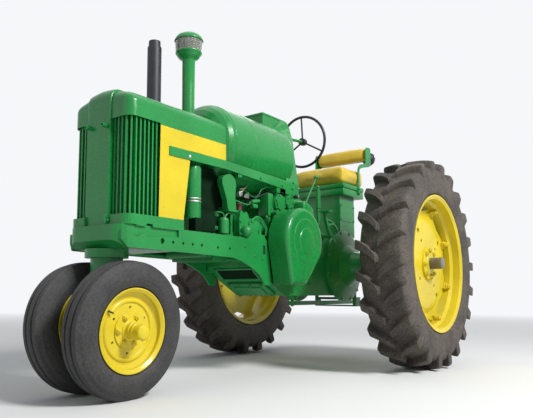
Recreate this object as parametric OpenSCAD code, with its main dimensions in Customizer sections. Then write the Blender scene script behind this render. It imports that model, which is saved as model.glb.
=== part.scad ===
// Row-crop tractor with twin front wheels, a two-cylinder engine lying along the frame and a
// pressure tank for its fuel. +X points forward, +Y to the driver's left and +Z up.
// Pieces are laid out from the rear axle's centre line, with the floor at z = 0, and moved
// back by centre_x so that the middle of the tractor's length lies at x = 0.

/* [Overall] */
// Distance from the rear axle to the front axle
wheelbase = 2286; // [2200:1:2400]
// Gap between curved faces that lie against each other
seat_gap = 0.3; // [0.2:0.05:0.6]
// Radial play of a shaft in its bore
running_gap = 0.05; // [0.02:0.01:0.1]
// Thickness of the sheet metal
sheet = 3; // [2:0.5:4]

/* [Rear wheels] */
// Radius of a rear tyre over its lugs
rear_tyre_r = 773; // [750:1:790]
// Width of a rear tyre's section
rear_tyre_w = 330; // [310:1:350]
// Height of the lugs over the tread
lug_h = 38; // [25:1:45]
// Lugs on each half of the tread
lug_count = 22; // [18:2:26]
// Width of a lug along the tread
lug_w = 62; // [50:1:75]
// Radius of a rear rim's flange
rear_rim_r = 508; // [495:1:520]
// Width of a rear rim over its flanges
rear_rim_w = 306; // [290:1:320]
// Distance between the rear tyres' middles
rear_tread = 1730; // [1650:1:1850]
// Radius of the rear axle shafts
axle_shaft_r = 42.5; // [38:0.5:48]
// Reach of an axle shaft past its tyre's middle
axle_reach = 170; // [120:1:220]
// Clamps that hold a rear rim to its disc
clamp_count = 8; // [6:1:10]
// Thickness of the wheel discs and rims
wheel_plate = 9; // [6:0.5:12]
// Radius of the rear discs to the corners at their clamps
rear_disc_r = 452; // [445:1:458]
// Radius of the flange on a rear hub
rear_hub_r = 125; // [110:1:135]

/* [Front wheels] */
// Radius of a front tyre
front_tyre_r = 360; // [340:1:370]
// Width of a front tyre's section
front_tyre_w = 160; // [140:1:170]
// Depth of the grooves between a front tyre's ribs
front_groove = 10; // [6:1:14]
// Radius of a front rim's flange
front_rim_r = 221; // [210:1:230]
// Width of a front rim over its flanges
front_rim_w = 134; // [124:1:140]
// Distance between the front tyres' middles
front_tread = 332; // [330:1:400]
// Lean of the front wheels, tops outward
camber = 4; // [2:0.5:6]
// Radius of the front spindles
spindle_r = 27; // [22:0.5:30]
// Bolts round a front hub
front_bolts = 6; // [5:1:8]
// Radius of the front hubs' caps
cap_r = 40; // [34:1:44]
// Reach of a front hub's cap past its tyre's middle
cap_reach = 147; // [120:1:160]

/* [Steering] */
// Radius of the steering shaft in the pedestal
kingpin_r = 38; // [30:1:44]
// Height of the pedestal's lower end
pedestal_z = 640; // [620:1:660]
// Radius of the pedestal
pedestal_r = 87; // [75:1:95]
// Radius of the flange on the pedestal's head
pedestal_head_r = 118; // [105:1:130]
// Gap between the front tyres and the pedestal's head
head_gap = 16; // [10:1:30]
// Least thickness of the pedestal's head
head_min = 40; // [30:1:45]
// Outer radius of the steering wheel
steering_wheel_r = 219; // [190:1:230]
// Thickness of the steering wheel's rim
steering_rim = 22; // [18:1:30]
// Radius of the shaft behind the steering wheel
column_r = 12; // [10:0.5:16]
// Height of the steering wheel's hub
steering_hub_z = 1805; // [1780:1:1830]
// Fall of the steering column towards the front
column_tilt = 5; // [3:1:7]

/* [Frame] */
// Outer half width of the frame rails
rail_y = 250; // [240:1:260]
// Thickness of the frame rails
rail_t = 12; // [8:1:16]
// Height of the frame rails' top edge
rail_top = 905; // [890:1:920]
// Depth of the frame rails
rail_h = 122; // [100:1:140]
// Rounding of the rails' front ends in plan
rail_bend = 110; // [80:5:140]
// Radius of the bolt holes in the rails
rail_hole_r = 8.5; // [6:0.5:11]
// Spacing of the bolt holes in the rails
rail_pitch = 80; // [70:1:90]
// Height of the rails' feet
rail_foot = 602; // [590:1:640]

/* [Nose and hood] */
// Reach of the grille's centre column past the front axle
nose_reach = 80; // [70:1:95]
// Reach of the front support and the rails past the column
tip_reach = 38; // [30:1:45]
// Half width of the nose and the hood
hood_y = 245; // [235:1:255]
// Rounding of the nose's corners in plan
nose_corner = 60; // [40:5:110]
// Set-back of the nose's flat front behind the column
nose_step = 10; // [6:1:14]
// Foot of the grille's bars
grille_z = 960; // [940:1:980]
// Top of the band along the hood's middle
hood_top = 1668; // [1640:1:1690]
// Lower edge of the cap over the bars
cap_low = 1484; // [1475:1:1500]
// Rear edge of the hood's sides
hood_back = 1563; // [1540:1:1590]
// Lower edge of the hood's sides
hood_low = 1372; // [1360:1:1390]
// Half width of the grille's centre column
column_y = 97; // [80:1:110]
// Bars on each side of the grille
slats = 11; // [8:1:13]
// Length of the grille's sides behind the column's front
grille_side = 233; // [225:1:260]

/* [Fuel tank] */
// Radius of the tank
tank_r = 280; // [265:1:285]
// Height of the tank's axis
tank_z = 1513; // [1505:1:1530]
// Rear end of the tank's straight part
tank_back = 830; // [800:1:850]
// Front end of the tank's straight part
tank_front = 1490; // [1470:1:1500]
// Depth of the tank's front dome
dome = 140; // [120:1:150]
// Depth of the tank's rear dome
dome_back = 100; // [80:1:105]

/* [Engine] */
// Position of the crankshaft along the tractor
crank_x = 903; // [890:1:920]
// Height of the crankshaft
crank_z = 905; // [895:1:915]
// Radius of the flywheel's cover
cover_r = 230; // [215:1:240]
// Height of the flywheel cover's flat foot
cover_foot = 608; // [595:1:620]
// Outer face of the flywheel's cover
cover_face = 425; // [410:1:440]
// Outer radius of the belt pulley
pulley_r = 165; // [150:1:180]
// Width of the belt pulley
pulley_w = 165; // [140:1:180]
// Radius of the fan
fan_r = 205; // [180:1:215]
// Blades of the fan
fan_blades = 6; // [4:1:6]
// Height of the fan's axis
fan_z = 1190; // [1180:1:1200]
// Front end of the cylinder block
block_front = 1600; // [1580:1:1620]

/* [Case] */
// Half width of the main case
case_y = 215; // [200:1:225]
// Front face of the crankcase at its foot
case_front = 1195; // [1180:1:1210]
// Front face of the crankcase at its top
case_brow = 984; // [970:1:1000]
// Rear face of the case
case_back = -255; // [-280:1:-240]
// Lower face of the case
case_low = 531; // [520:1:560]
// Top of the crankcase
case_top = 1250; // [1235:1:1260]
// Radius of the round flanges at the rear axle
final_r = 290; // [270:1:300]

/* [Seat] */
// Half width of the seat's tray
tray_y = 250; // [235:1:260]
// Top of the seat's tray
tray_top = 1466; // [1450:1:1480]
// Rear end of the seat's tray
tray_back = -356; // [-370:1:-340]
// Front end of the seat's tray
tray_front = 17; // [0:1:30]
// Depth of the seat's tray
tray_h = 96; // [80:1:110]
// Height of the seat's cushion
cushion_h = 155; // [130:1:170]
// Lower edge of the backrest
back_z = 1728; // [1715:1:1745]
// Height of the backrest
back_h = 127; // [110:1:140]
// Radius of the rear lamp
lamp_r = 59; // [50:1:65]

/* [Stacks] */
// Place of the air intake along the tractor
intake_x = 1735; // [1720:1:1750]
// Place of the air intake left of the middle
intake_y = 80; // [60:1:100]
// Radius of the air intake's pipe
intake_r = 36.5; // [32:0.5:42]
// Foot of the glass bowl on the air intake
bowl_z = 2058; // [2000:1:2080]
// Radius of the glass bowl
bowl_r = 75; // [65:1:85]
// Height of the glass bowl
bowl_h = 82; // [70:1:90]
// Place of the exhaust along the tractor
exhaust_x = 1890; // [1870:1:1900]
// Place of the exhaust right of the middle
exhaust_y = 70; // [50:1:90]
// Radius of the exhaust pipe
exhaust_r = 44.5; // [38:0.5:50]
// Top of the exhaust pipe
exhaust_top = 2125; // [2050:1:2200]
// Place of the air cleaner along the tractor
cleaner_x = 1800; // [1780:1:1815]
// Place of the air cleaner left of the middle
cleaner_y = 180; // [170:1:185]
// Radius of the air cleaner
cleaner_r = 54; // [45:1:58]

/* [Drawbar] */
// Width of the drawbar
drawbar_w = 64; // [50:1:76]
// Thickness of the drawbar
drawbar_t = 32; // [25:1:34]
// Height of the drawbar's lower face
drawbar_z = 455; // [450:1:460]
// Radius of the hole at the drawbar's end
drawbar_hole_r = 13; // [10:0.5:16]
// Reach of the drawbar behind the rear axle
drawbar_reach = 680; // [600:1:700]
// Radius of the drawbar's front pin
drawbar_pin_r = 12.5; // [10:0.5:14]
// Place of the drawbar's front pin
drawbar_pin_x = 435; // [420:1:450]
// Half width of the drawbar's guide
guide_y = 200; // [190:1:210]
// Radius of the power take-off shaft
pto_r = 17.46; // [15:0.1:22]

/* [Hidden] */
$fn = 48;
GREEN = [0.10, 0.48, 0.20];
YELLOW = [0.98, 0.86, 0.12];
VINYL = [0.86, 0.68, 0.12];
RUBBER = [0.13, 0.13, 0.13];
STEEL = [0.45, 0.46, 0.47];
SOOT = [0.12, 0.12, 0.13];
GLASS = [0.75, 0.78, 0.72];

lug_face_r = sqrt(pow(rear_tyre_r, 2) - pow(lug_w / 2, 2));
axle_z = lug_face_r;
carcass_r = rear_tyre_r - lug_h;
rear_half = rear_tyre_w / 2;
tyre_facets = 2 * lug_count;
rear_rim_y = rear_rim_w / 2;
rear_seat_r = rear_rim_r - 22;
front_rib = 14;
front_axle_z = front_tyre_r * cos(camber) + front_rib * sin(camber);
front_seat_r = front_rim_r - 17;
pivot_z = front_axle_z + front_tread / 2 * tan(camber);
spindle_out = front_tread / 2 / cos(camber);
centre_x = (wheelbase + front_tyre_r - rear_tyre_r) / 2;
// Wheelbase at which the places ahead of the case's slope are given
drawn_wheelbase = 2286;
ahead = wheelbase - drawn_wheelbase;
nose_x = drawn_wheelbase + nose_reach;
tip_x = nose_x + tip_reach;
face_x = nose_x - nose_step;
panel_x = nose_x - grille_side;
base_back = nose_x - 423;
radiator_x = nose_x - 261;
radiator_t = 120;
rail_in = rail_y - rail_t;
rail_low = rail_top - rail_h;
skin_y = hood_y + sheet;
shoulder_z = hood_top - 78;
support_back = tip_x - 454;
housing_end = rear_tread / 2 - rear_half - 60;
// Underside of the pedestal's head, and what the frame is raised by to clear larger front tyres
head_z = front_axle_z + front_tyre_r + head_gap;
lift = max(0, head_z + head_min - rail_low);
dash_x = tank_back - dome_back - 8;
cover_back = case_y + 50;
column_x = 250;
// The case's upper edge rises from the axle to the crankcase: share of the run, height
slope_back = 120;
slope_front = 640 + ahead;
CASE_TOP = [[0, 930], [0.346, 1010], [0.769, 1120], [1, case_top]];

// Points along an arc from angle a0 to angle a1
function arc(cx, cy, r, a0, a1, steps = 6) =
    [for (i = [0 : steps]) let (a = a0 + (a1 - a0) * i / steps) [cx + r * cos(a), cy + r * sin(a)]];

// Outline made whole by its mirror image across the first axis
function both_sides(half) =
    concat(half, [for (i = [len(half) - 1 : -1 : 0]) [-half[i][0], half[i][1]]]);

// Place along the case's slope, and the height of its upper edge there
function along(share) = slope_back + share * (slope_front - slope_back);
function slope_z(share) = lookup(share, CASE_TOP);

// Puts what stands on the floor into the tractor's frame
module placed() translate([-centre_x, 0, 0]) children();

// Puts what the case's rear carries into the tractor's frame
module on_case() translate([-centre_x, 0, lift]) children();

// Puts what lies ahead of the case's slope into the tractor's frame
module on_frame() translate([ahead - centre_x, 0, lift]) children();

// Mirrors a left-hand piece to the right where side is -1
module sided(side) {
    if (side > 0) children();
    else mirror([0, 1, 0]) children();
}

// A plate with an outline in x and z, from y0 to y1
module side_plate(outline, y0, y1) {
    translate([0, y1, 0]) rotate([90, 0, 0]) linear_extrude(y1 - y0) polygon(outline);
}

// A plate with an outline in y and z, from x0 to x1
module cross_plate(outline, x0, x1) {
    translate([x0, 0, 0]) rotate([90, 0, 90]) linear_extrude(x1 - x0) polygon(outline);
}

// A block between two corners
module block(low, high) translate(low) cube(high - low);

// Round bars along each axis, from one coordinate to the next
module bar_x(r, x0, x1) translate([x0, 0, 0]) rotate([0, 90, 0]) cylinder(r = r, h = x1 - x0);
module bar_y(r, y0, y1) translate([0, y0, 0]) rotate([-90, 0, 0]) cylinder(r = r, h = y1 - y0);
module bar_z(r, z0, z1) translate([0, 0, z0]) cylinder(r = r, h = z1 - z0);

// A revolved profile of radius and distance along +Y
module turned(profile) rotate([-90, 0, 0]) rotate_extrude() polygon(profile);

// The front wheels' place: at the spindle, with +Y along it and outward
module at_front_wheel() {
    translate([wheelbase, front_tread / 2, front_axle_z]) rotate([-camber, 0, 0]) children();
}

// The rear wheels' place: at the axle, in the tyre's middle plane
module at_rear_wheel() translate([0, rear_tread / 2, axle_z]) children();

// Steering wheel and column: at the hub, with +X along the column and forward
module at_column() translate([column_x, 0, steering_hub_z]) rotate([0, column_tilt, 0]) children();

// Outline of the nose in plan, from x_back forward to x_front
function nose_plan(x_back, x_front, half, corner) = concat(
    [[x_back, -half]], arc(x_front - corner, -half + corner, corner, -90, 0),
    arc(x_front - corner, half - corner, corner, 0, 90), [[x_back, half]]
);

// Cast box between the rails' front ends, undercut at the front and rounded like the rails
module front_support() color(GREEN) on_frame() {
    round_low = 70;
    front = tip_x - rail_t - seat_gap;
    difference() {
        intersection() {
            translate([0, 0, rail_low]) linear_extrude(rail_h)
                polygon(nose_plan(support_back, front, rail_in, rail_bend - rail_t + 2));
            side_plate([
                [support_back, rail_low], [front - 45, rail_low], [front, rail_low + 41],
                [front, rail_top], [support_back, rail_top]
            ], -rail_in, rail_in);
            cross_plate(concat(
                arc(-rail_in + round_low, rail_low + round_low, round_low, -90, -180, 5),
                [[-rail_in, rail_top], [rail_in, rail_top]],
                arc(rail_in - round_low, rail_low + round_low, round_low, 0, -90, 5)
            ), support_back, tip_x);
        }
        translate([drawn_wheelbase, 0, 0])
            bar_z(kingpin_r + running_gap, rail_low - 1, rail_low + 60);
    }
}

module steering_pedestal() color(GREEN) on_frame() translate([drawn_wheelbase, 0, 0]) {
    flange_z = head_z - lift;
    top = rail_low - 0.2;
    difference() {
        union() {
            bar_z(pedestal_head_r, flange_z, top);
            bar_z(pedestal_r, pedestal_z, flange_z + 10);
            block([-pedestal_r - 12, -20, pedestal_z + 30], [0, 20, flange_z + 10]);
        }
        bar_z(kingpin_r + running_gap, pedestal_z - 1, rail_low + 1);
    }
}

// Side rails with a cut-down front that bends inward, a raised bracket at the rear and a foot
module frame_rails() color(GREEN) on_frame() {
    dip = rail_top - 60;
    outline = [
        [1100, rail_top - 10], [1087, rail_foot], [1152, rail_foot], [1166, 623], [1212, 672],
        [1304, 718], [1400, rail_low - 32], [1493, rail_low - 13], [tip_x - 59, rail_low],
        [tip_x - 32, rail_low + 41], [tip_x - 32, rail_top - 34], [tip_x - 76, dip - 4],
        [tip_x - 124, dip - 4], [tip_x - 142, dip + 12], [tip_x - 164, dip + 12],
        [tip_x - 184, dip], [tip_x - 421, dip + 15], [tip_x - 421, rail_top], [1340, rail_top],
        [1312, rail_top + 31], [1159, rail_top + 31], [1140, rail_top]
    ];
    bolts = [for (i = [0 : 3]) 1786 + i * rail_pitch];
    for (side = [1, -1]) sided(side) difference() {
        union() {
            intersection() {
                side_plate(outline, rail_in - rail_bend, rail_y);
                translate([0, 0, rail_foot]) linear_extrude(rail_top + 31 - rail_foot) difference() {
                    polygon(nose_plan(1087, tip_x, rail_y, rail_bend));
                    polygon(nose_plan(1086, tip_x - rail_t, rail_in, rail_bend - rail_t));
                }
            }
            block([1210, rail_in - 40, rail_low], [support_back, rail_in, rail_low + 10]);
        }
        for (x = bolts) translate([x, 0, rail_low + 45]) bar_y(rail_hole_r, rail_in - 1, rail_y + 1);
        for (x = [1525, 1640]) translate([x, 0, rail_low + 40]) bar_y(rail_hole_r, rail_in - 1, rail_y + 1);
        translate([tip_x - 294, 0, rail_low + 47]) bar_y(16, rail_in - 1, rail_y + 1);
        block([1146, rail_in - 1, 806], [1176, rail_y + 1, 866]);
    }
}

// Base band, centre column and upright bars that turn round the nose's corners
module grille() color(GREEN) on_frame() {
    inset = 12;
    wall = 22;
    proud = 6;
    difference() {
        translate([0, 0, rail_top - 7]) linear_extrude(grille_z - rail_top + 7)
            polygon(nose_plan(base_back, face_x + proud, hood_y + proud, nose_corner + proud));
        translate([0, 0, rail_top - 8]) linear_extrude(grille_z - rail_top + 9)
            polygon(nose_plan(base_back - 1, face_x - wall, rail_in - 16, nose_corner - wall));
        block([base_back - 1, -rail_y - seat_gap, rail_top - 8],
              [face_x + proud + 1, rail_y + seat_gap, rail_top]);
        // notches over the rails' humps
        for (side = [1, -1]) sided(side)
            block([nose_x - 182, rail_in - 20, rail_top - 8], [nose_x - 138, hood_y + 7, rail_top + 10]);
    }
    difference() {
        block([nose_x - 60, -column_y, rail_top + 4], [nose_x, column_y, cap_low]);
        block([nose_x - 61, -column_y + 8, rail_top], [nose_x - 8, column_y - 8, cap_low + 1]);
    }
    // latch lugs at the column's foot
    for (side = [1, -1]) sided(side)
        block([nose_x - 5, column_y - 14, rail_top + 8], [nose_x + 16, column_y - 4, grille_z]);
    // bars along the flat front, round the corner and along the side
    run_front = hood_y - nose_corner - column_y;
    bend = nose_corner - inset;
    run_corner = bend * PI / 2;
    run_side = face_x - nose_corner - panel_x;
    run = run_front + run_corner + run_side;
    for (side = [1, -1]) sided(side) for (i = [0.5 : 1 : slats]) {
        s = run * i / slats;
        a = min(max((s - run_front) / bend * 180 / PI, 0), 90);
        past = max(s - run_front - run_corner, 0);
        translate([face_x - nose_corner + bend * cos(a) - past,
                   hood_y - nose_corner + bend * sin(a) - max(run_front - s, 0), grille_z - 1])
            rotate([0, 0, a]) translate([-22, -5, 0]) cube([22, 10, cap_low + 24 - grille_z]);
    }
}

// Cross-section of the hood, set in by inset
function hood_section(low, inset) = both_sides(concat(
    [[hood_y - inset, low]], arc(hood_y - 75, shoulder_z - 25, 75 - inset, 0, 75, 5),
    [[95, hood_top - 22 - inset], [0.01, hood_top - 9 - inset]]
));

// Profile of the hood from the side, with its rounded upper front edge
function hood_profile(x_front, top, corner, inset) = concat(
    [[hood_back - 2, 1300], [x_front - inset, 1300]],
    arc(x_front - corner, top - corner, corner - inset, 0, 90, 5), [[hood_back - 2, top - inset]]
);

module tank_shape(grow) {
    steps = 8;
    rotate([0, 90, 0]) rotate_extrude() polygon(concat(
        [for (i = [0 : steps]) let (a = -90 + 90 * i / steps)
            [(tank_r + grow) * cos(a), tank_back + (dome_back + grow) * sin(a)]],
        [for (i = [0 : steps]) let (a = 90 * i / steps)
            [(tank_r + grow) * cos(a), tank_front + (dome + grow) * sin(a)]]
    ));
}

// The hood's outer form where inset is 0, and its hollow where it is the sheet's thickness
module hood_form(inset) {
    back = inset > 0 ? hood_back - 1 : hood_back;
    intersection() {
        cross_plate(hood_section(hood_low - inset, inset), back, face_x - inset);
        translate([0, 0, 1300]) linear_extrude(400)
            polygon(nose_plan(back - 1, face_x - inset, hood_y - inset, nose_corner - inset));
        side_plate(hood_profile(face_x, hood_top - 9, 60, inset), -hood_y, hood_y);
    }
}

// Sheet hood with a raised band that runs on from the grille's column over its top
module hood() color(GREEN) on_frame() {
    difference() {
        union() {
            hood_form(0);
            intersection() {
                side_plate(hood_profile(nose_x, hood_top, 45, 0), -column_y, column_y);
                block([hood_back, -column_y, cap_low + seat_gap], [nose_x, column_y, hood_top]);
            }
        }
        hood_form(sheet);
        // the grille's opening round the nose
        block([panel_x, -hood_y - 1, hood_low - 1], [face_x + 1, hood_y + 1, cap_low]);
        translate([0, 0, tank_z]) tank_shape(4);
        translate([intake_x, intake_y, 0]) bar_z(intake_r + 3, 1500, 1800);
        translate([exhaust_x, -exhaust_y, 0]) bar_z(exhaust_r + 3, 1500, 1800);
    }
}

// Painted panels beside the radiator, each with the stripe along the hood's lower edge
module side_panels() color(YELLOW) on_frame() {
    stripe = cap_low - 10;
    outline = [
        [panel_x + 6, grille_z], [panel_x, stripe], [hood_back, stripe], [hood_back, hood_low],
        [1885, hood_low], [base_back, grille_z]
    ];
    for (side = [1, -1]) sided(side) side_plate(outline, hood_y, skin_y);
}

module radiator() color(GREEN) on_frame() {
    back = radiator_x - radiator_t;
    difference() {
        union() {
            block([back, -205, rail_top], [radiator_x, 205, 1470]);
            block([back - 25, -225, grille_z], [back, 225, fan_z + fan_r + 30]);
        }
        translate([0, 0, fan_z]) bar_x(fan_r + 12, back - 30, back - 7);
    }
}

module fan_drive() color(GREEN) on_frame() translate([0, 0, fan_z]) difference() {
    union() {
        bar_x(24, case_brow + 45, 1900);
        bar_x(38, case_brow + 45, case_brow + 90);
        block([1560, -18, -130], [1600, 18, 0]);
    }
    bar_x(12 + running_gap, 1800, 1901);
}

module fan() color(GREEN) on_frame() translate([0, 0, fan_z]) {
    hub_x = radiator_x - radiator_t - 25;
    bar_x(12, 1810, hub_x);
    bar_x(40, 1906, hub_x);
    for (i = [0 : fan_blades - 1]) rotate([360 / fan_blades * i, 0, 0])
        translate([hub_x - 27, 0, 30]) rotate([0, 0, 25]) translate([-2, -35, 0])
            cube([4, 70, fan_r - 40]);
}

module fuel_tank() color(GREEN) on_frame() translate([0, 0, tank_z]) tank_shape(0);

// Folded strips along the tank, on cross members that it lies on
module tank_rails() color(GREEN) on_frame() {
    front = nose_x - 300;
    low = 1282;
    for (side = [1, -1]) sided(side) {
        side_plate([
            [890, low], [890, 1348], [hood_back, hood_low - 0.5], [front, hood_low - 5],
            [front, 1316], [hood_back, 1318]
        ], skin_y, skin_y + 6);
    }
    for (x = [960, 1400]) difference() {
        block([x, -skin_y, x < 1000 ? case_top : 1290], [x + 40, skin_y, 1345]);
        translate([0, 0, tank_z]) tank_shape(seat_gap);
    }
}

module valve_cover() color(GREEN) on_frame() difference() {
    side_plate([[dash_x + 0.5, 1700], [dash_x + 0.5, 1863], [963, 1863], [963, 1700]], -100, 100);
    translate([0, 0, tank_z]) tank_shape(seat_gap);
}

// Half outline of the dash, from its foot up to its flat crown
DASH = [[243, 1290], [217, 1459], [211, 1600], [204, 1660], [191, 1717], [172, 1790], [146, 1836],
        [110, 1860]];

// A slice of the skirt between the dash and the tank, set in by inset
module skirt_slice(x, crown, inset) {
    cross_plate(both_sides([for (p = DASH) if (p[1] > 1500)
        [(p[0] - inset) * crown, tank_z + (p[1] - inset - tank_z) * crown]]), x, x + 1);
}

module skirt(inset) hull() {
    skirt_slice(dash_x - sheet + inset, 1, inset);
    skirt_slice(tank_back, 0.79, inset);
}

// Dash behind the tank, with the skirt that runs on from the tank and gussets at its feet
module cowl() color(GREEN) on_frame() {
    difference() {
        union() {
            cross_plate(both_sides(concat([[215, case_top], [243, case_top]], DASH)),
                dash_x - sheet, dash_x);
            difference() {
                skirt(0);
                skirt(sheet);
            }
            // bush of the steering shaft
            translate([0, 0, steering_hub_z - (dash_x - column_x) * tan(column_tilt)])
                bar_x(26, dash_x - 40, dash_x);
            for (side = [1, -1]) sided(side) hull() {
                block([dash_x - sheet, hood_y, case_top + 2], [890, skin_y, 1345]);
                block([dash_x - sheet, 208, 1587], [dash_x + 20, 211, 1590]);
            }
        }
        translate([0, 0, tank_z]) tank_shape(seat_gap);
        block([dash_x, -100 - seat_gap, 1690], [970, 100 + seat_gap, 1900]);
        translate([-ahead, 0, 0]) at_column()
            bar_x(column_r + running_gap, 200, dash_x + ahead - column_x + 20);
    }
}

// Intake pipe, the base and cap of the glass bowl and the stem that holds the cap
module air_stack() color(GREEN) on_frame() translate([intake_x, intake_y, 0]) {
    cap_z = bowl_z + bowl_h + seat_gap;
    bar_z(intake_r, 1420, bowl_z - 50);
    rotate_extrude() polygon([
        [0, bowl_z - 55], [intake_r + 2, bowl_z - 55], [intake_r + 6, bowl_z - 40],
        [bowl_r - 6, bowl_z - 8], [bowl_r + 2, bowl_z - seat_gap], [0, bowl_z - seat_gap]
    ]);
    bar_z(20, bowl_z - 10, cap_z + 8);
    rotate_extrude() polygon([
        [0, cap_z], [bowl_r + 5, cap_z], [bowl_r + 5, cap_z + 30], [bowl_r - 8, cap_z + 54],
        [40, cap_z + 63], [0, cap_z + 63]
    ]);
}

module precleaner_bowl() color(GLASS) on_frame() translate([intake_x, intake_y, bowl_z])
    rotate_extrude() polygon([[bowl_r - 9, 0], [bowl_r - 2, 0], [bowl_r, bowl_h], [bowl_r - 5, bowl_h]]);

module exhaust_stack() color(SOOT) on_frame() translate([exhaust_x, -exhaust_y, 0]) difference() {
    union() {
        bar_z(exhaust_r, 1450, exhaust_top - 40);
        bar_z(exhaust_r - 7, exhaust_top - 41, exhaust_top);
    }
    bar_z(exhaust_r - 10, exhaust_top - 260, exhaust_top + 1);
}

// Branch on the cylinder head, riser and cross pipe to the stack
module exhaust_manifold() color(SOOT) on_frame() {
    riser_x = 1741;
    translate([0, -exhaust_y, 0]) {
        difference() {
            translate([0, 0, 1455]) bar_x(exhaust_r - 4, riser_x - 36, exhaust_x + 40);
            translate([exhaust_x, 0, 0]) bar_z(exhaust_r + seat_gap, 1450, 1500);
        }
        translate([riser_x, 0, 0]) bar_z(36, 1100, 1455);
        translate([0, 0, 1100]) bar_x(36, block_front - 60, riser_x + 36);
        block([block_front - 100, -50, 1060], [block_front - 10, 50, 1080]);
    }
}

// Oil-bath cleaner beside the radiator, on its bracket to the rail
module air_cleaner() color(GREEN) on_frame() {
    cup_top = 1309;
    duct_top = 1400;
    translate([cleaner_x, cleaner_y, 0]) {
        bar_z(cleaner_r, 1014, cup_top);
        for (z = [1088, 1150]) bar_z(cleaner_r + 4, z, z + 12);
        bar_z(cleaner_r - 10, 1004, 1014);
        bar_z(32, cup_top, duct_top);
    }
    translate([intake_x, intake_y, 0]) bar_z(32, 1330, 1420);
    block([intake_x - 30, intake_y - 25, 1330], [cleaner_x + 30, cleaner_y + 30, 1390]);
    block([cleaner_x - 30, cleaner_y - 5, rail_low + 20], [cleaner_x + 30, rail_in, 1015]);
}

// Two lying cylinders in one casting, with a flanged head and a rounded cover in front
module engine_block() color(GREEN) on_frame() {
    low = 760;
    back = case_front - 138;
    side_plate([
        [case_front, low], [1480, low], [1480, 1050], [back, 1050], [back, 900], [case_front, 900]
    ], -175, 175);
    block([1480, -178, low - 10], [block_front, 178, 1060]);
    side_plate(concat([[block_front, low + 10]], arc(block_front + 50, low + 30, 20, -90, 0),
        arc(block_front + 50, 1020, 20, 0, 90), [[block_front, 1040]]), -165, 165);
    for (side = [1, -1]) sided(side) translate([0, 95, 905]) bar_x(88, 1200, 1480);
}

// Crankcase, gear case and rear case in one, with the cover's lugs and the pulley's stub
module main_case() color(GREEN) on_case() {
    crank = crank_x + ahead;
    front = case_front + ahead;
    brow = case_brow + ahead;
    outline = concat(
        [[front, 730], [front, 900], [front - 138, 900], [front - 138, 1055], [front - 151, 1090],
         [brow, case_top - 6], [brow - 8, case_top]],
        [for (i = [len(CASE_TOP) - 1 : -1 : 0]) [along(CASE_TOP[i][0]), CASE_TOP[i][1]]],
        [[case_back, 930], [case_back, 620], [-120, case_low], [front - 330, case_low],
         [front - 125, 636]]
    );
    difference() {
        union() {
            side_plate(outline, -case_y, case_y);
            translate([0, 0, fan_z]) bar_x(44, brow - 30, brow + 45);
            for (side = [1, -1]) sided(side)
                block([front - 60, case_y - 1, 695], [front, rail_in, 880]);
            translate([crank, 0, crank_z]) bar_y(120, case_y, case_y + 45);
            translate([crank, 0, crank_z]) for (a = [60, 115, 180]) rotate([0, -a, 0])
                block([cover_r - 8, case_y - 5, -20], [cover_r + 12, cover_back, 20]);
            block([crank + 60, case_y - 5, cover_foot - 14], [crank + 110, cover_back, cover_foot + 6]);
            translate([crank, 0, crank_z]) bar_y(40, -case_y - 250, -case_y);
        }
        translate([ahead, 0, tank_z]) tank_shape(6);
    }
    // boss and pin of the drawbar
    translate([drawbar_pin_x, 0, 0]) {
        bar_z(42, drawbar_z + drawbar_t + 7, case_low + 5);
        bar_z(drawbar_pin_r, drawbar_z - 9, drawbar_z + drawbar_t + 9);
    }
}

// Governor's round cover, the magneto beside it and the rod's tube to the rear
module governor() color(GREEN) on_frame() {
    translate([953, 0, 1176]) {
        bar_y(65, case_y, case_y + 30);
        bar_y(50, case_y, case_y + 38);
    }
    translate([853, 0, 1195]) bar_y(52, case_y, case_y + 48);
    block([853, case_y, 1140], [953, case_y + 24, 1215]);
    translate([0, case_y + 26, 1209]) bar_x(19, 680, 840);
    translate([680, case_y + 26, 1209]) sphere(r = 19);
}

// Leaf-shaped elbow over the mixer, and the mixer's flange on the head
module fuel_mixer() color(GREEN) on_frame() {
    leaf = concat(
        [[1447, 1066], [1460, 1150]], arc(1515, 1232, 64, 200, 60, 7), arc(1545, 1240, 46, 70, -40, 5),
        [[1545, 1131], [1532, 1066]]
    );
    side_plate(leaf, 200, 240);
    side_plate([[1452, 1060], [1452, 1090], [1525, 1090], [1525, 1060]], 150, 205);
    block([1440, 150, 1060], [1535, 246, 1072]);
}

// Filter canister that stands on the rail, with its domed cap
module fuel_filter() color(GREEN) on_frame() translate([1545, 214, 0]) {
    bar_z(20, rail_low + 10, 920);
    bar_z(34, 918, 1000);
    rotate_extrude() polygon([[0, 1000], [34, 1000], [28, 1014], [10, 1020], [0, 1020]]);
}

// Hydraulic pump on the block's side: eared casting, round nose and the valve box behind it
module hydraulic_pump() color(GREEN) on_frame() {
    nose = [1362, 946];
    side_plate([
        [1300, 905], [1290, 1000], [1318, 1066], [1334, 1078], [1350, 1062], [1366, 1064],
        [1382, 1082], [1396, 1064], [1408, 1020], [1404, 905]
    ], 184, 232);
    translate([nose[0], 0, nose[1]]) {
        bar_y(38, 184, 252);
        translate([0, 252, 0]) sphere(r = 38);
    }
    block([1175, 184, rail_top + 32], [1310, rail_in, 1022]);
    translate([1190, 0, rail_top]) block([0, 190, 31], [24, rail_in + 8, 60]);
}

module flywheel() color(STEEL) on_frame() translate([crank_x, 0, crank_z])
    bar_y(cover_r - 9, case_y + 45, case_y + 115);

// Outline of the flywheel's cover round the crankshaft, set in by inset
function cover_outline(inset) = concat(
    arc(0, 0, cover_r - inset, -12, 205, 22),
    [[-10 + inset * 0.4, cover_foot - crank_z + inset], [168 - inset, cover_foot - crank_z + inset]]
);

module cover_slice(inset, y) side_plate(cover_outline(inset), y, y + 1);

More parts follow.
